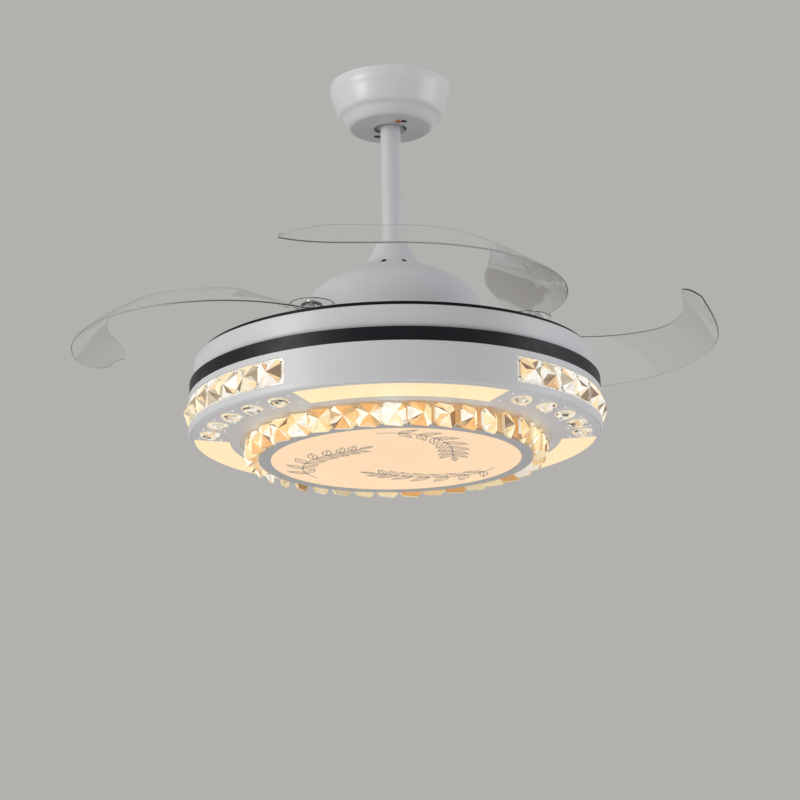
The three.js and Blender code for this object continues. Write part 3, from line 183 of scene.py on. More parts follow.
def tone(mat, source, socket, dark, light, low=0.3, high=0.7):
    """Runs a socket of the shader between two values or colours as the pattern goes from low to high."""
    nodes, links = mat.node_tree.nodes, mat.node_tree.links
    ramp = nodes.new("ShaderNodeValToRGB")
    ends = ramp.color_ramp.elements
    ends[0].position, ends[1].position = low, high
    ends[0].color = (*dark, 1) if isinstance(dark, tuple) else (dark, dark, dark, 1)
    ends[1].color = (*light, 1) if isinstance(light, tuple) else (light, light, light, 1)
    links.new(source, ramp.inputs["Fac"])
    links.new(ramp.outputs["Color"], shader_of(mat).inputs[socket])


def relief(mat, source, strength, depth):
    """Fine bumps on the surface that follow the pattern."""
    nodes, links = mat.node_tree.nodes, mat.node_tree.links
    bump = nodes.new("ShaderNodeBump")
    bump.inputs["Strength"].default_value = strength
    bump.inputs["Distance"].default_value = depth
    links.new(source, bump.inputs["Height"])
    links.new(bump.outputs["Normal"], shader_of(mat).inputs["Normal"])


def finish_node(material, slot, *names):
    """Gives CAD solids their finish where their shape is right as it is."""
    for name in names:
        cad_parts[name].data.materials.clear()
        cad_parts[name].data.materials.append(material)


def zinc_coat(name, dark, light):
    mat = new_finish(name, light, 0.42, 1.0)
    tone(mat, grain(mat, 160, cells=True), "Base Color", dark, light, 0.1, 0.9)
    tone(mat, grain(mat, 60), "Roughness", 0.34, 0.52)
    return mat


# Painted shade: this zinc is much darker than the ball's, for the shadow inside the canopy where it shows through
# the holes.
bracket_zinc_in_painted_shade = zinc_coat("zinc_painted_dark_as_shade", (0.16, 0.16, 0.17), (0.34, 0.345, 0.36))
finish_node(bracket_zinc_in_painted_shade, "galvanised_steel", "hanger_bracket")

# ---- Canopy ---------------------------------------------------------------------------------------
# A bowl spun from sheet steel and painted white, with a soft step low on its side and a flat floor.
# The floor has the hole of the rod and two keyholes for the screws that hold it to the bracket.
CANOPY_OUTLINE = [
    (74.7, -1), (74.7, -7), (74.5, -11.5), (73.8, -14.6), (72.6, -17.2), (71.1, -21.5), (69.6, -26.5), (68.0, -31.5),
    (66.5, -35.6), (65.4, -38.4), (64.6, -40.2), (63.4, -41.8), (61.3, -43.2), (59.2, -45.2), (56.9, -48.6),
    (54.4, -52.4), (52.0, -55.4), (49.8, -57.0), (47.6, -57.4), (34.7, -57.4), (32.2, -57.4), (27.8, -57.4),
    (25.3, -57.4), (20.3, -57.4),
]
CANOPY_WALL = 1.6
CANOPY_FLOOR = -57.3
KEYHOLE_CIRCLE = 30
KEYHOLES = (-70.5, 109.5)
KEYHOLE_STEP = 3
NARROW_INNER, NARROW_OUTER = 27.8, 32.2
WIDE_INNER, WIDE_OUTER = 25.3, 34.7


def turn(bm, outline, spans=((360, 96),), start=0.0, centre=(0, 0), closed=True):
    """Turns an outline of (radius, height) points in millimetres about an upright axis."""
    before = set(bm.verts)
    hub = Vector((centre[0] * MM, centre[1] * MM, 0))
    first = Matrix.Translation(hub) @ Matrix.Rotation(math.radians(start), 4, "Z")
    points = [bm.verts.new(first @ Vector((r * MM, 0, z * MM))) for r, z in outline]
    ends = points[1:] + (points[:1] if closed else [])
    sweep = points + [bm.edges.new(pair) for pair in zip(points, ends)]
    for angle, steps in spans:
        swept = bmesh.ops.spin(bm, geom=sweep, cent=hub, axis=(0, 0, 1), angle=math.radians(angle), steps=steps,
                               use_merge=angle == 360)
        sweep = swept["geom_last"]
    made = [v for v in bm.verts if v not in before]
    bmesh.ops.remove_doubles(bm, verts=made, dist=2e-6)
    bmesh.ops.dissolve_degenerate(bm, edges=bm.edges, dist=1e-7)
    return [v for v in bm.verts if v not in before]


def add_piece(name, bm, materials, body, stands_for=(), bevel=0.0, wall=0.0, smooth=0, flat=False):
    """Closes a piece off: its mesh, its edges, its finish, and the body that it rides on."""
    bmesh.ops.recalc_face_normals(bm, faces=bm.faces)
    mesh = bpy.data.meshes.new(name)
    bm.to_mesh(mesh)
    bm.free()
    for material in materials if isinstance(materials, list) else [materials]:
        mesh.materials.append(material)
    if not flat:
        mesh.shade_smooth()
        if not bevel:
            mesh.set_sharp_from_angle(angle=math.radians(35))
    obj = bpy.data.objects.new(name, mesh)
    scene.collection.objects.link(obj)
    if wall:
        sheet = obj.modifiers.new("wall", "SOLIDIFY")
        sheet.thickness = wall * MM
        sheet.offset = -1
        sheet.use_even_offset = True
    if bevel:
        soften = obj.modifiers.new("soft_edges", "BEVEL")
        soften.width = bevel * MM
        soften.segments = 2
        soften.limit_method = "ANGLE"
        soften.angle_limit = math.radians(35)
        soften.harden_normals = True
    if smooth:
        rounder = obj.modifiers.new("smooth", "SUBSURF")
        rounder.levels = rounder.render_levels = smooth
    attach(obj, body)
    if stands_for:
        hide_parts(*stands_for)
    return obj


def cut_out(bm, is_open):
    """Takes out the faces whose centre lies in an opening, by its radius, its angle and its height."""
    opened = []
    for face in bm.faces:
        c = face.calc_center_median() / MM
        if is_open(c.xy.length, math.degrees(math.atan2(c.y, c.x)), c.z):
            opened.append(face)
    bmesh.ops.delete(bm, geom=opened, context="FACES")


def in_keyhole(radius, angle, height):
    """A keyhole is a narrow arc in the floor with a wide part for the head of the screw."""
    for keyhole in KEYHOLES:
        past = (angle - keyhole + 180) % 360 - 180
        narrow = -1.5 * KEYHOLE_STEP < past < 7.5 * KEYHOLE_STEP and NARROW_INNER < radius < NARROW_OUTER
        wide = 2.5 * KEYHOLE_STEP < past < 6.5 * KEYHOLE_STEP and WIDE_INNER < radius < WIDE_OUTER
        if height <= CANOPY_FLOOR and (narrow or wide):
            return True
    return False


def white_paint(name, coat, pale, grey):
    mat = new_finish(name, pale, 0.40)
    shader_of(mat).inputs["Coat Weight"].default_value = coat
    shader_of(mat).inputs["Coat Roughness"].default_value = 0.24
    tone(mat, grain(mat, 9), "Base Color", grey, pale)
    tone(mat, grain(mat, 40), "Roughness", 0.36, 0.46)
    relief(mat, grain(mat, 1400, detail=1.0), 0.06, 0.0002)
    return mat


# Painted light: the canopy's white is made lighter than the same white paint on the rod and rings, to make up for
# the light that reaches it.
canopy_white_with_painted_light = white_paint("glossy_white_paint_with_painted_light", 0.5, (0.805, 0.81, 0.825), (0.775, 0.78, 0.797))

bm = bmesh.new()
turn(bm, CANOPY_OUTLINE, ((360, 360 // KEYHOLE_STEP),), start=KEYHOLES[0] - 1.5 * KEYHOLE_STEP, closed=False)
cut_out(bm, in_keyhole)
add_piece("canopy_shell", bm, canopy_white_with_painted_light, "ceiling_mount", ("canopy",), wall=CANOPY_WALL, bevel=0.5)

# ---- Canopy screws --------------------------------------------------------------------------------
# Two copper-coloured pan-head screws that the keyholes of the canopy hook over.
SCREW_HEAD = [(0, -59.9), (2.3, -59.8), (3.4, -59.2), (3.9, -58.2), (3.9, -57.7), (1.9, -57.7), (1.9, -50), (0, -50)]

copper = new_finish("copper_plating", (0.55, 0.27, 0.13), 0.3, 1.0)
tone(copper, grain(copper, 500), "Roughness", 0.22, 0.42)
for number, angle in enumerate(KEYHOLES, 1):
    at = [KEYHOLE_CIRCLE * math.cos(math.radians(angle)), KEYHOLE_CIRCLE * math.sin(math.radians(angle))]
    bm = bmesh.new()
    turn(bm, SCREW_HEAD, ((360, 24),), centre=at)
    add_piece(f"copper_screw_{number}", bm, copper, "ceiling_mount", (f"canopy_screw_{number}",))

# ---- Ball, rod and coupling -----------------------------------------------------------------------
# The zinc-coated ball in the bracket's seat carries the white steel rod on a cross pin. The rod's
# lower end stands in a turned coupling on the motor's shaft, held by a second pin.
BALL_OUTLINE = [(12.8, -55.6), (14.9, -55.6), (18.7, -52.4), (21.9, -48.6), (24.6, -43.4), (26.2, -37.3),
                (26.3, -31.1), (25.0, -25.7), (22.5, -20.5), (12.8, -20.5)]
ROD_OUTLINE = [(10.7, -235.6), (12.5, -235.6), (12.5, -12.6), (10.7, -12.6)]

white = white_paint("satin_white_paint", 0.08, (0.735, 0.74, 0.757), (0.700, 0.705, 0.726))
zinc = zinc_coat("zinc_spangle", (0.52, 0.53, 0.55), (0.76, 0.77, 0.79))
steel = new_finish("turned_steel", (0.47, 0.48, 0.50), 0.32, 1.0)
tone(steel, grain(steel, 60, stretch=(1, 1, 12)), "Roughness", 0.24, 0.42)
relief(steel, grain(steel, 120, stretch=(1, 1, 30)), 0.1, 0.0001)
bm = bmesh.new()
turn(bm, BALL_OUTLINE, ((360, 48),))
add_piece("ball", bm, zinc, "fan_head", ("hanger_ball",), bevel=0.6)
bm = bmesh.new()
turn(bm, ROD_OUTLINE, ((360, 64),))
add_piece("rod", bm, white, "fan_head", ("downrod",), bevel=0.3)
finish_node(steel, "steel", "hanger_pin", "rod_coupling", "coupling_pin", "motor_shaft")

# ---- Motor cover ----------------------------------------------------------------------------------
# A spun steel bell, painted white outside: a long neck round the coupling that flares into a shallow dome, with ten
# slots stamped through its shoulder for the warm air. Its inside is painted near black as shade, so that the slots
# look dark.
COVER_OUTLINE = [
    (13.1, -207.3), (18.4, -207.3), (19.6, -208.4), (20.5, -210.6), (22.4, -214), (25, -219.8), (28, -226.4),
    (30.9, -232.5), (33.6, -236.3), (37, -239.6), (41, -242.9), (45.1, -245.3), (49.4, -247.2), (54.6, -249.1),
    (60.2, -250.9), (67.5, -254.6), (75.3, -259), (83, -263.5), (90.4, -268.2), (97, -273.4), (102.7, -279.9),
    (107, -289.5), (110.2, -302.2), (112.4, -319), (113.5, -337), (114, -355.6),
]
COVER_WALL = 1.8
SLOT_INNER, SLOT_OUTER = 37, 60.2
SLOT_COUNT, SLOT_ANGLE, FIRST_SLOT = 10, 8.0, -69


def in_slot(radius, angle, height):
    past = (angle - FIRST_SLOT + SLOT_ANGLE / 2) % (360 / SLOT_COUNT)
    return SLOT_INNER < radius < SLOT_OUTER and past < SLOT_ANGLE


bm = bmesh.new()
between_slots = 360 / SLOT_COUNT - SLOT_ANGLE
turn(bm, COVER_OUTLINE, ((SLOT_ANGLE, 1), (between_slots, 8)) * SLOT_COUNT, start=FIRST_SLOT - SLOT_ANGLE / 2,
     closed=False)
cut_out(bm, in_slot)
# Painted shade: a near-black inside shell, so that the slots show dark.
inside_painted_shade = new_finish("inside_painted_dark_as_shade", (0.012, 0.012, 0.013), 0.7)
tone(inside_painted_shade, grain(inside_painted_shade, 200), "Roughness", 0.6, 0.8)
bell = add_piece("motor_bell", bm, [white, inside_painted_shade], "fan_head", ("motor_cover",), wall=COVER_WALL,
                 smooth=1)
bell.modifiers["wall"].material_offset = 1

# ---- Motor ----------------------------------------------------------------------------------------
# Die-cast shells that turn on two bearings round the fixed shaft, a ferrite magnet ring inside them,
# and the wound stator on the shaft. All of it is hidden, so the CAD solids stay and are finished.
cast = new_finish("cast_aluminium", (0.66, 0.67, 0.68), 0.45, 1.0)
tone(cast, grain(cast, 300), "Roughness", 0.38, 0.55)
winding = new_finish("varnished_copper", (0.50, 0.22, 0.09), 0.35, 0.7)
tone(winding, grain(winding, 300, stretch=(1, 1, 9)), "Base Color", (0.36, 0.15, 0.06), (0.6, 0.29, 0.12))
ferrite = new_finish("ferrite", (0.05, 0.05, 0.052), 0.6)
tone(ferrite, grain(ferrite, 400), "Roughness", 0.5, 0.7)
finish_node(cast, "motor_aluminium", "motor_shell_lower", "motor_shell_upper")
finish_node(winding, "copper_winding", "stator")
finish_node(ferrite, "magnet", "magnet_ring")
finish_node(steel, "steel", "bearing_lower", "bearing_upper")

# ---- Tray -----------------------------------------------------------------------------------------
# The black pressed plate with a low lip that the motor turns and that carries the four blades. A low
# round pad stands under each blade's boss.
TRAY_OUTLINE = [(60, -362.4), (238, -362.4), (238, -358.5), (236.2, -358.5), (236.2, -359.4), (60, -359.4)]
PAD_OUTLINE = [(12, -359.5), (30, -359.5), (30, -358.4), (29.4, -357.9), (12, -357.9)]
PIVOT_CIRCLE = 186.0
PIVOT_ANGLES = [-30.7 + 90 * i for i in range(4)]
PIVOTS = [(PIVOT_CIRCLE * math.cos(math.radians(a)), PIVOT_CIRCLE * math.sin(math.radians(a))) for a in PIVOT_ANGLES]

black = new_finish("black_tray_paint", (0.004, 0.004, 0.006), 0.5)
shader_of(black).inputs["Specular IOR Level"].default_value = 0.2
tone(black, grain(black, 700), "Roughness", 0.44, 0.58)
relief(black, grain(black, 1200), 0.08, 0.0002)
bm = bmesh.new()
turn(bm, TRAY_OUTLINE, ((360, 160),))
for at in PIVOTS:
    turn(bm, PAD_OUTLINE, ((360, 40),), centre=at)
add_piece("blade_plate", bm, black, "rotor", ("blade_tray",), bevel=0.6)

# ---- Gears ----------------------------------------------------------------------------------------
# Moulded nylon: one large ring gear under the tray that turns all four blade gears alike. A steel
# ring guides it, and a torsion spring round each hub folds the blade in again.
nylon = new_finish("black_nylon", (0.03, 0.03, 0.033), 0.5)
tone(nylon, grain(nylon, 500), "Roughness", 0.42, 0.6)
finish_node(nylon, "nylon", "sync_gear", *[f"blade_gear_{i}" for i in range(1, 5)])
finish_node(steel, "steel", "sync_guide", *[f"return_spring_{i}" for i in range(1, 5)])

# ---- Blades ---------------------------------------------------------------------------------------
# Thin clear moulded plastic: a crescent that starts at the boss, sweeps round on a widening arc, rises toward its
# hollow side and curls up at the tip. It is hazy near its root. Its edges are painted grey as shade, darker towards
# the tip, in place of the dark that the clear edges show. A bright screw holds each blade down through its boss.
ARC_START, ARC_SWEEP = 62.4, 165.0
ARC_RADIUS, ARC_GROWTH, ARC_FLARE = 145.0, 74.0, 34.0
EDGE_HEIGHT, TIP_LIFT, TIP_FROM, CAMBER = -342.3, 17.0, 0.8, 0.3
STATIONS = [0, 0.05, 0.1, 0.25, 0.4, 0.55, 0.7, 0.82, 0.92, 0.98, 1]
BLADE_WIDTH, BLADE_RISE = 91.0, 44.0
WIDTH_SHARES = [0.27, 0.64, 0.88, 1, 0.97, 0.76, 0.55, 0.47, 0.41, 0.31, 0.20]
RISE_SHARES = [0.09, 0.45, 0.73, 0.98, 1, 0.95, 0.84, 0.77, 0.70, 0.46, 0.25]
TIP_SLANT, CORNER_LIFT, CORNER_FROM = 0.02, 5.0, 0.88
# Painted shade along the blade's edges, from boss to tip: the first list for the side away from the hollow, the
# second for the hollow side.
OUTER_EDGE_PAINTED_SHADE = [0.3, 0.4, 0.6, 0.7, 0.3, 0.15, 0.25, 0.5, 0.75, 0.95, 1]
INNER_EDGE_PAINTED_SHADE = [0.0, 0.05, 0.1, 0.2, 0.3, 0.35, 0.3, 0.1, 0.05, 0.3, 0.95]
BLADE_WALL = 1.5
ALONG_STEPS, ACROSS_STEPS = 120, 16
END_CELL, SIDE_CELL = 0.0015, 0.008
HAZE_ALONG, HAZE_LENGTH = 0.14, 0.12
HAZE_ACROSS, HAZE_WIDTH = 0.6, 0.52
HAZE_DEPTH = 1.8
PLASTIC_IOR = 1.49
BOSS_OUTLINE = [(11.9, -357.6), (26.4, -357.6), (27, -357), (27, -336.4), (26.2, -335.6), (24.4, -335.6),
                (23.6, -336.4), (23.6, -354), (12.6, -354), (12.6, -336.7), (12.1, -336.2), (4.4, -336.2),
                (4.4, -352), (11.9, -352)]
BLADE_SCREW = [(0, -367), (4, -367), (4, -335.9), (7.6, -335.9), (8, -335.4), (8, -333.4), (7, -332.7),
               (2.4, -332.7), (2.4, -334.6), (0, -334.6)]


def along(values, t):
    """A smooth run through the values that the blade has at its stations."""
    i = min(max(k for k, s in enumerate(STATIONS) if s <= t), len(STATIONS) - 2)

    def slope(k):
        a, b = max(k - 1, 0), min(k + 1, len(values) - 1)
        return (values[b] - values[a]) / (STATIONS[b] - STATIONS[a])

    span = STATIONS[i + 1] - STATIONS[i]
    u = (t - STATIONS[i]) / span
    return (values[i] * (2 * u**3 - 3 * u**2 + 1) + values[i + 1] * (3 * u**2 - 2 * u**3)
            + span * (slope(i) * (u**3 - 2 * u**2 + u) + slope(i + 1) * (u**3 - u**2)))


def inset(x, steps, margin):
    """Spreads the steps of a grid evenly, but for a narrow first and last one."""
    k = round(x * steps)
    return k / steps if k in (0, steps) else margin + (1 - 2 * margin) * (k - 1) / (steps - 2)


def blade_point(t, s):
    """A point of the blade, t of the way from boss to tip and s of the way to its hollow side."""
    corner = max(0.0, (t - CORNER_FROM) / (1 - CORNER_FROM)) ** 2 * (1 - s)
    t = t - TIP_SLANT * corner
    radius = ARC_RADIUS + ARC_GROWTH * t + ARC_FLARE * t * t - BLADE_WIDTH * along(WIDTH_SHARES, t) * s
    angle = math.radians(ARC_START - ARC_SWEEP * t)
    root = math.radians(ARC_START)
    lift = TIP_LIFT * max(0.0, (t - TIP_FROM) / (1 - TIP_FROM)) ** 2 + CORNER_LIFT * corner
    rise = BLADE_RISE * along(RISE_SHARES, t) * (s + CAMBER * s * (1 - s))
    x = radius * math.cos(angle) - ARC_RADIUS * math.cos(root)
    y = radius * math.sin(angle) - ARC_RADIUS * math.sin(root)
    return Vector((x, y, EDGE_HEIGHT + lift + rise)) * MM


def kept_in_mesh(mat, layer):
    """The node that reads a value or a colour that is kept in the mesh."""
    reader = mat.node_tree.nodes.new("ShaderNodeAttribute")
    reader.attribute_name = layer
    return reader


clear = new_finish("clear_moulded_plastic", (0.99, 0.993, 0.993), 0.02)
shader_of(clear).inputs["Transmission Weight"].default_value = 1.0
shader_of(clear).inputs["IOR"].default_value = PLASTIC_IOR
ragged = clear.node_tree.nodes.new("ShaderNodeMath")
ragged.operation = "MULTIPLY_ADD"
ragged.inputs[1].default_value = 0.35
clear.node_tree.links.new(grain(clear, 55), ragged.inputs[0])
clear.node_tree.links.new(kept_in_mesh(clear, "root_haze").outputs["Fac"], ragged.inputs[2])
tone(clear, ragged.outputs["Value"], "Base Color", (0.99, 0.993, 0.993), (0.74, 0.735, 0.72), 0.50, 0.72)
relief(clear, grain(clear, 22), 0.02, 0.002)
# Painted shade: the rim is an opaque grey, darker where the lists say, for the dark that the clear edges show.
edge = new_finish("clear_plastic_edge_painted_shade", (0.6, 0.6, 0.6), 0.1)
shader_of(edge).inputs["IOR"].default_value = PLASTIC_IOR
painted_edge_shade = kept_in_mesh(edge, "painted_edge_shade").outputs["Fac"]
tone(edge, painted_edge_shade, "Base Color", (0.48, 0.475, 0.47), (0.03, 0.03, 0.033), 0.1, 0.95)
bright = new_finish("bright_screw", (0.62, 0.62, 0.62), 0.4, 1.0)
tone(bright, grain(bright, 200), "Roughness", 0.34, 0.5)
for number, at in enumerate(PIVOTS, 1):
    unit = f"blade_unit_{number}"
    facing = Matrix.Rotation(math.radians(PIVOT_ANGLES[number - 1]), 4, "Z")
    hub = Matrix.Translation((at[0] * MM, at[1] * MM, 0)) @ facing
    bm = bmesh.new()
    bmesh.ops.create_grid(bm, x_segments=ALONG_STEPS, y_segments=ACROSS_STEPS, size=0.5)
    smoke, painted_edge_tone = bm.verts.layers.float.new("root_haze"), bm.verts.layers.float.new("painted_edge_shade")
    for v in bm.verts:
        t, s = inset(v.co.x + 0.5, ALONG_STEPS, END_CELL), inset(v.co.y + 0.5, ACROSS_STEPS, SIDE_CELL)
        haze_along = max(0.0, 1 - abs(t - HAZE_ALONG) / HAZE_LENGTH)
        haze_across = max(0.0, 1 - abs(s - HAZE_ACROSS) / HAZE_WIDTH)
        v[smoke] = min(haze_along, haze_across) * HAZE_DEPTH
        v[painted_edge_tone] = along(OUTER_EDGE_PAINTED_SHADE, t) * (1 - s) + along(INNER_EDGE_PAINTED_SHADE, t) * s
        v.co = hub @ blade_point(t, s)
    blade = add_piece(f"clear_blade_{number}", bm, [clear, edge], unit, (f"blade_{number}",))
    sheet = blade.modifiers.new("sheet", "SOLIDIFY")
    sheet.thickness = BLADE_WALL * MM
    sheet.offset = 0
    sheet.material_offset_rim = 1
    bm = bmesh.new()
    turn(bm, BOSS_OUTLINE, ((360, 48),), centre=at)
    add_piece(f"clear_boss_{number}", bm, clear, unit, bevel=0.5)
    bm = bmesh.new()
    turn(bm, BLADE_SCREW, ((360, 24),), centre=at)
    add_piece(f"blade_screw_{number}", bm, bright, unit, (f"blade_bolt_{number}",))

# ---- Lamp pan -------------------------------------------------------------------------------------
# The zinc-coated pan on the fixed shaft that everything of the lamp hangs from, with its nut.
finish_node(zinc, "galvanised_steel", "lamp_pan")
finish_node(steel, "steel", "shaft_nut")

# ---- Outer rings ----------------------------------------------------------------------------------
# Three rolled rings round the pan: a white one at the top, a black band in soft lacquer, and the deep
# white one whose wall has three long windows for the crystals and turns in sharply at the bottom.
LAMP_TURN = 1.9
WINDOW_ANGLE = 56.0
FIRST_WINDOW = -30 + LAMP_TURN - WINDOW_ANGLE / 2
WINDOW_BOTTOM, WINDOW_TOP = -447.4, -415.8
RING_WALL = 1.6
UPPER_RING = [(236, -391.2), (239.6, -391.2), (241.4, -390.4), (242.7, -388.9), (243.5, -386.8), (243.8, -384),
              (243.8, -364.7), (243, -363.9), (242.3, -363.9), (242.3, -384), (241.2, -387.6), (238.8, -389.7),
              (236, -389.7)]
BLACK_BAND = [(247.8, -407.7), (249.3, -407.7), (249.3, -391.5), (236, -391.5), (236, -393), (247.8, -393)]
LOWER_RING = [(236, -408), (249.4, -408), (250, -408.6), (250, WINDOW_TOP), (250, WINDOW_BOTTOM), (250, -453.5),
              (249.8, -454.5), (249.2, -455.3), (248.4, -455.8), (247.5, -456)]


def in_window(radius, angle, height):
    return WINDOW_BOTTOM < height < WINDOW_TOP and (angle - FIRST_WINDOW) % 120 < WINDOW_ANGLE


lacquer = new_finish("black_lacquer", (0.004, 0.004, 0.009), 0.42)
shader_of(lacquer).inputs["Specular IOR Level"].default_value = 0.32
tone(lacquer, grain(lacquer, 120), "Roughness", 0.38, 0.47)
bm = bmesh.new()
turn(bm, UPPER_RING, ((360, 180),))
add_piece("white_upper_ring", bm, white, "fan_head", ("upper_ring",), bevel=0.5)
bm = bmesh.new()
turn(bm, BLACK_BAND, ((360, 180),))
add_piece("black_band", bm, lacquer, "fan_head", ("accent_band",), bevel=0.4)
bm = bmesh.new()
spans = ((WINDOW_ANGLE, 28), (120 - WINDOW_ANGLE, 32)) * 3
turn(bm, LOWER_RING, spans, start=FIRST_WINDOW, closed=False)
cut_out(bm, in_window)
add_piece("white_lower_ring", bm, white, "fan_head", ("lower_ring",), wall=RING_WALL, bevel=0.4)

# ---- Window crystals ------------------------------------------------------------------------------
# Seven square cut crystals with clipped corners stand in each window on a clear beaded strip, lit from
# behind, and dark pins hold them. Each rises in eight facets to a point, and each facet is cut again
# into small ones.
SPARKLE = random.Random(11)
WINDOW_TILES = 7
WINDOW_PITCH = (WINDOW_ANGLE - 1.6) / WINDOW_TILES
WINDOW_TILE = (250 * math.radians(WINDOW_PITCH) - 0.4, WINDOW_BOTTOM + 2.2, WINDOW_TOP - 2.0)
WINDOW_RADII = (247.4, 250.0, 256.6)
WINDOW_CORNER = 5.0
FACET_DIMPLE = 0.4
PIN_RADIUS = 0.95
UPPER_PIN, END_PINS = (WINDOW_TOP - 5.5,), (WINDOW_TOP - 6, WINDOW_BOTTOM + 6)
STRIP_OUTLINE = [(244.6, WINDOW_BOTTOM - 2), (248, WINDOW_BOTTOM - 2), (248, WINDOW_BOTTOM + 0.4),
                 (249.5, WINDOW_BOTTOM + 0.4), (249.5, WINDOW_TOP - 0.4), (248, WINDOW_TOP - 0.4),
                 (248, WINDOW_TOP + 2), (244.6, WINDOW_TOP + 2)]
# Painted light and shade: the tones of the facets, from white glints to dark facets.
SEAM_TONES = [((1.0, 1.0, 0.96), 6), ((1.0, 0.86, 0.60), 5), ((1.0, 0.72, 0.38), 3), ((0.50, 0.44, 0.33), 3),
              ((0.14, 0.07, 0.03), 2), ((0.34, 0.26, 0.16), 2)]
CROWN_TONES = [((1.0, 0.80, 0.48), 5), ((1.0, 0.92, 0.68), 5), ((0.82, 0.50, 0.22), 3), ((0.60, 0.52, 0.38), 3),
               ((1.0, 1.0, 0.97), 3), ((0.20, 0.12, 0.05), 1)]


def lit_crystal(name, glow):
    """Cut acrylic lit from within: the tone kept in the mesh for each facet is painted light, its glints and dark
    facets standing for what that facet shows of the lit inside.
    """
    mat = new_finish(name, (0.22, 0.19, 0.15), 0.06)
    nodes, links = mat.node_tree.nodes, mat.node_tree.links
    # Painted reflections: cells that vary the glow within each facet, for the crystal's inner reflections.
    painted_inner_reflections = nodes.new("ShaderNodeTexVoronoi")
    painted_inner_reflections.inputs["Scale"].default_value = 420
    place = nodes.new("ShaderNodeTexCoord")
    links.new(place.outputs["Object"], painted_inner_reflections.inputs["Vector"])
    ramp = nodes.new("ShaderNodeValToRGB")
    ramp.color_ramp.elements[0].position, ramp.color_ramp.elements[0].color = 0.0, (1.06, 1.05, 1.03, 1)
    ramp.color_ramp.elements[1].position, ramp.color_ramp.elements[1].color = 1.0, (0.86, 0.82, 0.77, 1)
    links.new(painted_inner_reflections.outputs["Color"], ramp.inputs["Fac"])
    mixed = nodes.new("ShaderNodeMix")
    mixed.data_type = "RGBA"
    mixed.blend_type = "MULTIPLY"
    mixed.inputs["Factor"].default_value = 1.0
    links.new(kept_in_mesh(mat, "painted_facet_light").outputs["Color"], mixed.inputs["A"])
    links.new(ramp.outputs["Color"], mixed.inputs["B"])
    links.new(mixed.outputs["Result"], shader_of(mat).inputs["Emission Color"])
    shader_of(mat).inputs["Emission Strength"].default_value = glow
    return mat


def facet_layer(bm):
    """The layer of facet tones. It is made before any face is held, because a new layer lets go of them."""
    return bm.loops.layers.float_color.get("painted_facet_light") or bm.loops.layers.float_color.new("painted_facet_light")


def tone_facets(bm, faces, tones, low=0.9, high=1.06):
    """Gives each facet of one stone a tone of painted light from the list and a slightly different depth of it."""
    layer = facet_layer(bm)
    for face in faces:
        colour = SPARKLE.choices([c for c, weight in tones], [weight for c, weight in tones])[0]
        shade = SPARKLE.uniform(low, high)
        for loop in face.loops:
            loop[layer] = (colour[0] * shade, colour[1] * shade, colour[2] * shade, 1)


def cut_tile(bm, middle, size, radii, skew, corner, seam_tones, crown_tones):
    """One crystal on a round wall, from its back radius over its face radius to its point."""
    (width, bottom, top), (back, front, point) = size, radii
    height = top - bottom
    facet_layer(bm)
    before = set(bm.faces)
    stand = (Matrix.Rotation(math.radians(middle), 4, "Z")
             @ Matrix.Translation((front * MM, 0, (top + bottom) / 2 * MM))
             @ Matrix.Rotation(math.radians(skew), 4, "Z"))
    made = bmesh.ops.create_grid(bm, x_segments=1, y_segments=1, size=0.5)["verts"]
    for v in made:
        v.co = stand @ Vector((0, v.co.x * width * MM, v.co.y * height * MM))
    clipped = bmesh.ops.bevel(bm, geom=made, offset=corner * MM, offset_type="OFFSET", affect="VERTICES",
                              segments=1, profile=0.5, material=-1)
    plate = max({f for v in clipped["verts"] for f in v.link_faces}, key=lambda f: len(f.verts))
    grown = bmesh.ops.extrude_face_region(bm, geom=[plate], use_keep_orig=True)
    moved = [g for g in grown["geom"] if isinstance(g, bmesh.types.BMVert)]
    bmesh.ops.translate(bm, verts=moved, vec=stand.to_3x3() @ Vector(((back - front) * MM, 0, 0)))
    crown = bmesh.ops.poke(bm, faces=[plate])
    tip = crown["verts"][0]
    tip.co = stand @ Vector(((point - front) * MM, 0, 0))
    facets = []
    for face in [f for f in bm.faces if f not in before]:
        spot = stand.inverted() @ face.calc_center_median() / MM
        # Painted shade: the facets at the back get darker tones.
        if spot.x < 0.4:
            tone_facets(bm, [face], crown_tones, 0.5, 0.8)
        else:
            facets.append((face, abs(spot.y) / width > abs(spot.z) / height))
    for face, seam in facets:
        tones = seam_tones if seam else crown_tones
        main = SPARKLE.choices([c for c, weight in tones], [weight for c, weight in tones])[0]
        split = bmesh.ops.poke(bm, faces=[face], offset=-FACET_DIMPLE * MM)
        tone_facets(bm, split["faces"], [(main, 9), (SPARKLE.choice(tones)[0], 2)], 0.82, 1.08)


def small_ball(bm, size, rounds, radius, angle, height, squash=1.0):
    """The end of a pin, or a bead, at a radius, an angle in degrees and a height of the lamp."""
    turned = math.radians(angle)
    made = bmesh.ops.create_icosphere(bm, subdivisions=rounds, radius=size * MM)
    bmesh.ops.scale(bm, verts=made["verts"], vec=(1, 1, squash))
    bmesh.ops.translate(bm, verts=made["verts"],
                        vec=(radius * MM * math.cos(turned), radius * MM * math.sin(turned), height * MM))


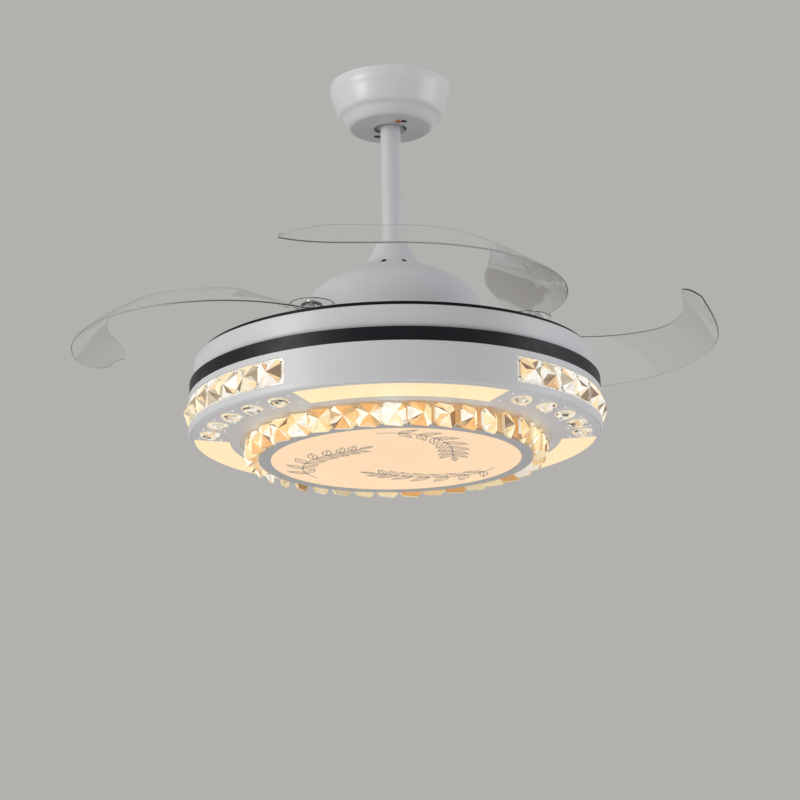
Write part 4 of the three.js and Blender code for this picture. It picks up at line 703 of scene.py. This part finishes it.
window_glow = lit_crystal("lit_window_crystal", 0.84)
bubbled = new_finish("beaded_clear_strip", (0.80, 0.78, 0.72), 0.15)
tone(bubbled, grain(bubbled, 520, cells=True), "Base Color", (0.52, 0.44, 0.33), (0.92, 0.91, 0.88), 0.15, 0.5)
shader_of(bubbled).inputs["Emission Color"].default_value = (1.0, 0.88, 0.66, 1)
shader_of(bubbled).inputs["Emission Strength"].default_value = 0.16
pin_brown = new_finish("dark_wire_pin", (0.035, 0.02, 0.014), 0.4)
tone(pin_brown, grain(pin_brown, 900), "Roughness", 0.3, 0.5)
for number in range(1, 4):
    middle = -30 + 120 * (number - 1) + LAMP_TURN
    bm = bmesh.new()
    for k in range(WINDOW_TILES):
        cut_tile(bm, middle + WINDOW_PITCH * (k - 3), WINDOW_TILE, WINDOW_RADII, 0, WINDOW_CORNER, SEAM_TONES,
                 CROWN_TONES)
    add_piece(f"window_crystal_row_{number}", bm, window_glow, "fan_head", (f"window_crystals_{number}",),
              flat=True)
    bm = bmesh.new()
    for k in range(WINDOW_TILES + 1):
        for height in UPPER_PIN if k % 2 else END_PINS:
            small_ball(bm, PIN_RADIUS, 1, 250.4, middle + WINDOW_PITCH * (k - 3.5), height)
    add_piece(f"window_pins_{number}", bm, pin_brown, "fan_head")
    bm = bmesh.new()
    turn(bm, STRIP_OUTLINE, ((WINDOW_ANGLE - 0.3, 28),), start=middle - WINDOW_ANGLE / 2 + 0.15)
    bmesh.ops.holes_fill(bm, edges=bm.edges, sides=8)
    add_piece(f"window_strip_{number}", bm, bubbled, "fan_head", flat=True)

# ---- Reflector, board and driver ------------------------------------------------------------------
# Inside the lamp body: a white reflector plate on four posts, the ring-shaped board under it and the
# driver's box on top. They are hidden, so the CAD solids stay and are finished.
matt_white = new_finish("matt_reflector_white", (0.86, 0.86, 0.84), 0.6)
tone(matt_white, grain(matt_white, 90), "Roughness", 0.55, 0.7)
box_white = new_finish("moulded_driver_case", (0.78, 0.78, 0.76), 0.5)
tone(box_white, grain(box_white, 900), "Roughness", 0.44, 0.6)
finish_node(matt_white, "reflector_white", "reflector_plate", "led_board")
finish_node(box_white, "driver_plastic", "led_driver")

# ---- Bottom plate ---------------------------------------------------------------------------------
# The painted ring under the lamp body, pressed so that it slopes down a little towards the disc.
# Three openings hold the lit panels, and the bare thirds between them carry the crystal studs.
PLATE_RIM, PLATE_BORE, DISH_DEPTH = 247.2, 188.0, 4.2
PLATE_WALL = 1.5
PANEL_INNER, PANEL_OUTER, PANEL_ANGLE = 200.5, 243.7, 61.0
FIRST_PANEL = -90 + LAMP_TURN - PANEL_ANGLE / 2


def plate_face(radius):
    """The height of the plate's lower face at a radius."""
    return -456.8 - DISH_DEPTH * (PLATE_RIM - radius) / (PLATE_RIM - PLATE_BORE)


def in_panel(radius, angle, height):
    return PANEL_INNER < radius < PANEL_OUTER and (angle - FIRST_PANEL) % 120 < PANEL_ANGLE


bm = bmesh.new()
spans = ((PANEL_ANGLE, 31), (120 - PANEL_ANGLE, 29)) * 3
dish = [(r, plate_face(r)) for r in (PLATE_BORE, PANEL_INNER, PANEL_OUTER, 246.2)]
rolled_rim = [(246.9, -456.5), (PLATE_RIM, -455.8), (PLATE_RIM, -453.3)]
turn(bm, dish + rolled_rim, spans, start=FIRST_PANEL, closed=False)
cut_out(bm, in_panel)
add_piece("white_bottom_plate", bm, white, "fan_head", ("bottom_plate",), wall=PLATE_WALL, bevel=0.3)

# ---- Lit panels -----------------------------------------------------------------------------------
# Three curved panes of warm translucent acrylic, flush in the plate and lit evenly from behind.
PANE_EDGE, PANE_END, PANE_WALL = 0.4, 0.12, 2.6
PANE_INNER, PANE_OUTER = PANEL_INNER + PANE_EDGE, PANEL_OUTER - PANE_EDGE
PANE_OUTLINE = [(PANE_INNER, plate_face(PANE_INNER)), (PANE_OUTER, plate_face(PANE_OUTER)),
                (PANE_OUTER, plate_face(PANE_OUTER) + PANE_WALL), (PANE_INNER, plate_face(PANE_INNER) + PANE_WALL)]

warm = new_finish("warm_lit_acrylic", (0.3, 0.25, 0.18), 0.35)
shader_of(warm).inputs["Emission Strength"].default_value = 1.0
tone(warm, grain(warm, 6), "Emission Color", (0.78, 0.61, 0.345), (0.82, 0.64, 0.38))
for number in range(1, 4):
    bm = bmesh.new()
    turn(bm, PANE_OUTLINE, ((PANEL_ANGLE - 2 * PANE_END, 31),), start=FIRST_PANEL + 120 * (number - 1) + PANE_END)
    bmesh.ops.holes_fill(bm, edges=bm.edges, sides=4)
    add_piece(f"lit_panel_{number}", bm, warm, "fan_head", (f"light_panel_{number}",), bevel=0.3)

# ---- Crystal studs --------------------------------------------------------------------------------
# Five round brilliant-cut crystals a third, low domes in a smooth rim that glows amber, with small
# white beads pressed into the plate round them.
STUD_CIRCLE, STUD_PITCH = 225.0, 10.9
STUD_CUTS = ((36, 12.2, 12.0, 1.3, -1.1), (14, 11.5, 10.4, -1.1, -3.2), (14, 10.3, 7.0, -3.2, -5.3),
             (7, 6.8, 3.2, -5.3, -6.1))
# Painted light and shade: the rim's amber tones and the facets' white glints and dark tones.
RIM_TONES = [((1.0, 0.92, 0.72), 5), ((1.0, 0.80, 0.50), 3)]
STUD_TONES = [((1.0, 0.99, 0.96), 5), ((1.0, 0.88, 0.62), 4), ((0.03, 0.025, 0.02), 2), ((0.34, 0.31, 0.28), 2),
              ((0.70, 0.66, 0.60), 4), ((0.93, 0.64, 0.32), 2)]
BEADS = ((236.5, 0.0), (210.5, 0.0), (232.5, 3.3), (215.5, -3.0))
BEAD_RADIUS = 1.3

stud_glow = lit_crystal("lit_stud_crystal", 0.74)
bead_white_painted_glint = new_finish("white_bead_painted_glint", (0.85, 0.86, 0.88), 0.15)
# Painted highlight: the beads glow a little, for the glints they catch.
shader_of(bead_white_painted_glint).inputs["Emission Color"].default_value = (1, 0.97, 0.92, 1)
shader_of(bead_white_painted_glint).inputs["Emission Strength"].default_value = 0.25
tone(bead_white_painted_glint, grain(bead_white_painted_glint, 300), "Roughness", 0.1, 0.25)
for number in range(1, 4):
    middle = -30 + 120 * (number - 1) + LAMP_TURN
    seat = plate_face(STUD_CIRCLE)
    bm = bmesh.new()
    facet_layer(bm)
    for k in range(5):
        angle = math.radians(middle + STUD_PITCH * (k - 2))
        at = (STUD_CIRCLE * MM * math.cos(angle), STUD_CIRCLE * MM * math.sin(angle))
        for row, (sides, wide, small, high, low) in enumerate(STUD_CUTS):
            before = set(bm.faces)
            place = Matrix.Translation((*at, (seat + (high + low) / 2) * MM)) @ Matrix.Rotation(angle, 4, "Z")
            bmesh.ops.create_cone(bm, cap_ends=True, segments=sides, radius1=small * MM, radius2=wide * MM,
                                  depth=(high - low) * MM, matrix=place)
            tone_facets(bm, [f for f in bm.faces if f not in before], STUD_TONES if row else RIM_TONES)
    add_piece(f"crystal_studs_{number}", bm, stud_glow, "fan_head", (f"stud_strip_{number}",), flat=True)
    bm = bmesh.new()
    for k in range(6):
        for radius, shift in BEADS:
            around = middle + STUD_PITCH * (k - 2.5) + shift
            small_ball(bm, BEAD_RADIUS, 2, radius, around, plate_face(radius) - 0.3, squash=0.7)
    add_piece(f"white_beads_{number}", bm, bead_white_painted_glint, "fan_head")

# ---- Carrier and crystal ring ---------------------------------------------------------------------
# A pressed steel cup with a white flange hangs the centre disc under the plate. Square cut crystals
# with clipped corners stand round it, each turned a little like the slat of a louvre and pinned to the
# next. They are lit amber from inside, and a white bead sits at each joint.
RING_TILES = 37
RING_PITCH = 360 / RING_TILES
RING_SIZE = (29.6, -487.8, -460.7)
RING_RADII = (173.2, 176.3, 184.6)
RING_CORNER = 5.2
LOUVRE, LOUVRE_PLAY = 21.0, 3
# Painted light and shade: white glints, amber glow and dark facets of the ring's crystals.
AMBER_SEAMS = [((1.0, 0.99, 0.88), 9), ((1.0, 0.82, 0.48), 6), ((1.0, 0.62, 0.26), 5), ((0.16, 0.07, 0.02), 1),
               ((0.60, 0.38, 0.16), 2)]
AMBER_CROWNS = [((1.0, 0.72, 0.36), 5), ((0.92, 0.46, 0.13), 4), ((1.0, 0.84, 0.52), 5), ((0.42, 0.22, 0.07), 1),
                ((1.0, 0.98, 0.90), 3)]
CUP_OUTLINE = [(159.5, -481), (168.4, -481), (168.4, -458.8), (167, -458.8), (167, -479.5), (159.5, -479.5)]
FLANGE_OUTLINE = [(168.4, -458.8), (193.9, -458.8), (193.9, -457.3), (168.4, -457.3)]

# Painted light: the steel cup glows amber where the crystals' light falls on it.
cup = new_finish("amber_lit_carrier", (0.62, 0.46, 0.28), 0.4)
tone(cup, grain(cup, 500, cells=True), "Emission Color", (0.62, 0.34, 0.12), (1.0, 0.74, 0.42), 0.1, 0.7)
shader_of(cup).inputs["Emission Strength"].default_value = 0.30
bm = bmesh.new()
turn(bm, CUP_OUTLINE, ((360, 120),))
add_piece("disc_cup", bm, cup, "fan_head", ("disc_carrier",), bevel=0.4)
bm = bmesh.new()
turn(bm, FLANGE_OUTLINE, ((360, 120),))
add_piece("carrier_flange", bm, white, "fan_head", bevel=0.4)

ring_glow = lit_crystal("lit_amber_crystal", 0.96)
bm, pins = bmesh.new(), bmesh.new()
for k in range(RING_TILES):
    at = RING_PITCH * (k + 0.5) + LAMP_TURN
    skew = LOUVRE + SPARKLE.uniform(-LOUVRE_PLAY, LOUVRE_PLAY)
    cut_tile(bm, at, RING_SIZE, RING_RADII, skew, RING_CORNER, AMBER_SEAMS, AMBER_CROWNS)
    small_ball(pins, PIN_RADIUS, 1, 182.5, at - RING_PITCH * 0.42, -466.5)
    if k % 3 == 0:
        small_ball(pins, PIN_RADIUS, 1, 173.8, at + RING_PITCH * 0.40, -481.5)
add_piece("crystal_row", bm, ring_glow, "fan_head", ("crystal_ring",), flat=True)
add_piece("crystal_pins", pins, pin_brown, "fan_head")
bm = bmesh.new()
for k in range(RING_TILES):
    small_ball(bm, BEAD_RADIUS, 2, 167.2, RING_PITCH * k + LAMP_TURN, -482.4)
add_piece("joint_beads", bm, bead_white_painted_glint, "fan_head")

# ---- Centre disc ----------------------------------------------------------------------------------
# Warm translucent acrylic behind a satin silver border, with a fine line ornament of leaf sprays
# printed on it in grey.
BORDER_OUTLINE = [(151.1, -484.3), (165.3, -484.3), (165.3, -481.3), (155.1, -481.3), (155.1, -483.3),
                  (151.1, -483.3)]
DISC_OUTLINE = [(0, -483.6), (154.8, -483.6), (154.8, -481.3), (0, -481.3)]

silver = new_finish("satin_silver", (0.60, 0.595, 0.60), 0.42, 0.15)
tone(silver, grain(silver, 400), "Roughness", 0.36, 0.5)
bm = bmesh.new()
turn(bm, BORDER_OUTLINE, ((360, 160),))
add_piece("silver_border", bm, silver, "fan_head", ("disc_border",), bevel=0.4)

peach = new_finish("peach_lit_acrylic", (0.30, 0.24, 0.17), 0.3)
shader_of(peach).inputs["Emission Strength"].default_value = 1.0
tone(peach, grain(peach, 5), "Emission Color", (0.76, 0.53, 0.325), (0.80, 0.57, 0.36))
bm = bmesh.new()
turn(bm, DISC_OUTLINE, ((360, 160),))
add_piece("peach_disc", bm, peach, "fan_head", ("disc_panel",))

# ---- Leaf sprays ----------------------------------------------------------------------------------
# The ornament, printed in grey ink on the disc's face: three curved stems that run inwards from near
# its edge, each with paired leaves and one more leaf at its end.
PRINT_HEIGHT = -483.75
LINE_RADIUS, LINE_FLATNESS = 0.75, 0.35
STEM_ANGLES, STEM_SWEEP, STEM_STEPS = (20, 140, 260), 92, 40
STEM_OUTER, STEM_INWARD = 128, 58
LEAF_SPREAD, LEAF_STEPS = 0.75, 12

print_grey = new_finish("grey_print", (0.26, 0.25, 0.23), 0.5)
tone(print_grey, grain(print_grey, 200), "Base Color", (0.23, 0.22, 0.205), (0.29, 0.28, 0.26))
shader_of(print_grey).inputs["Emission Color"].default_value = (0.36, 0.33, 0.28, 1)
shader_of(print_grey).inputs["Emission Strength"].default_value = 0.30


def drawn_line(curve, points, cyclic=False):
    spline = curve.splines.new("POLY")
    spline.points.add(len(points) - 1)
    for point, (x, y) in zip(spline.points, points):
        point.co = (x * MM, y * MM, PRINT_HEIGHT * MM, 1)
    spline.use_cyclic_u = cyclic


def leaf(curve, x, y, heading, length, width):
    """The outline of a leaf from its foot at x and y, and its middle vein."""
    c, s = math.cos(heading), math.sin(heading)
    right, left = [], []
    for i in range(LEAF_STEPS + 1):
        u = i / LEAF_STEPS
        w = width * math.sin(math.pi * u ** 0.8) / 2
        right.append((x + c * length * u - s * w, y + s * length * u + c * w))
        left.append((x + c * length * u + s * w, y + s * length * u - c * w))
    drawn_line(curve, right + left[::-1], True)
    drawn_line(curve, [(x, y), (x + c * length * 0.8, y + s * length * 0.8)])


lines = bpy.data.curves.new("leaf_sprays", "CURVE")
lines.dimensions = "3D"
lines.bevel_depth = LINE_RADIUS * MM
lines.bevel_resolution = 1
for stem_angle in STEM_ANGLES:
    stem = []
    for i in range(STEM_STEPS + 1):
        u = i / STEM_STEPS
        r = STEM_OUTER - STEM_INWARD * math.sin(u * math.pi * 0.5) ** 2
        a = math.radians(stem_angle + STEM_SWEEP * u)
        stem.append((r * math.cos(a), r * math.sin(a)))
    drawn_line(lines, stem)
    for i in range(5, 38, 5):
        (x0, y0), (x1, y1) = stem[i - 1], stem[i + 1]
        heading = math.atan2(y1 - y0, x1 - x0)
        size = 30 - 12 * abs(i / STEM_STEPS - 0.45)
        leaf(lines, *stem[i], heading + LEAF_SPREAD, size, size * 0.38)
        leaf(lines, *stem[i], heading - LEAF_SPREAD, size, size * 0.38)
    leaf(lines, *stem[-1], math.atan2(stem[-1][1] - stem[-3][1], stem[-1][0] - stem[-3][0]), 20, 7)
ornament_curve = bpy.data.objects.new("leaf_curve", lines)
scene.collection.objects.link(ornament_curve)
ornament_mesh = bpy.data.meshes.new_from_object(ornament_curve.evaluated_get(bpy.context.evaluated_depsgraph_get()))
bpy.data.objects.remove(ornament_curve)
bm = bmesh.new()
bm.from_mesh(ornament_mesh)
print_middle = PRINT_HEIGHT * MM
for v in bm.verts:
    v.co.z = print_middle + (v.co.z - print_middle) * LINE_FLATNESS
add_piece("printed_leaf_sprays", bm, print_grey, "fan_head")
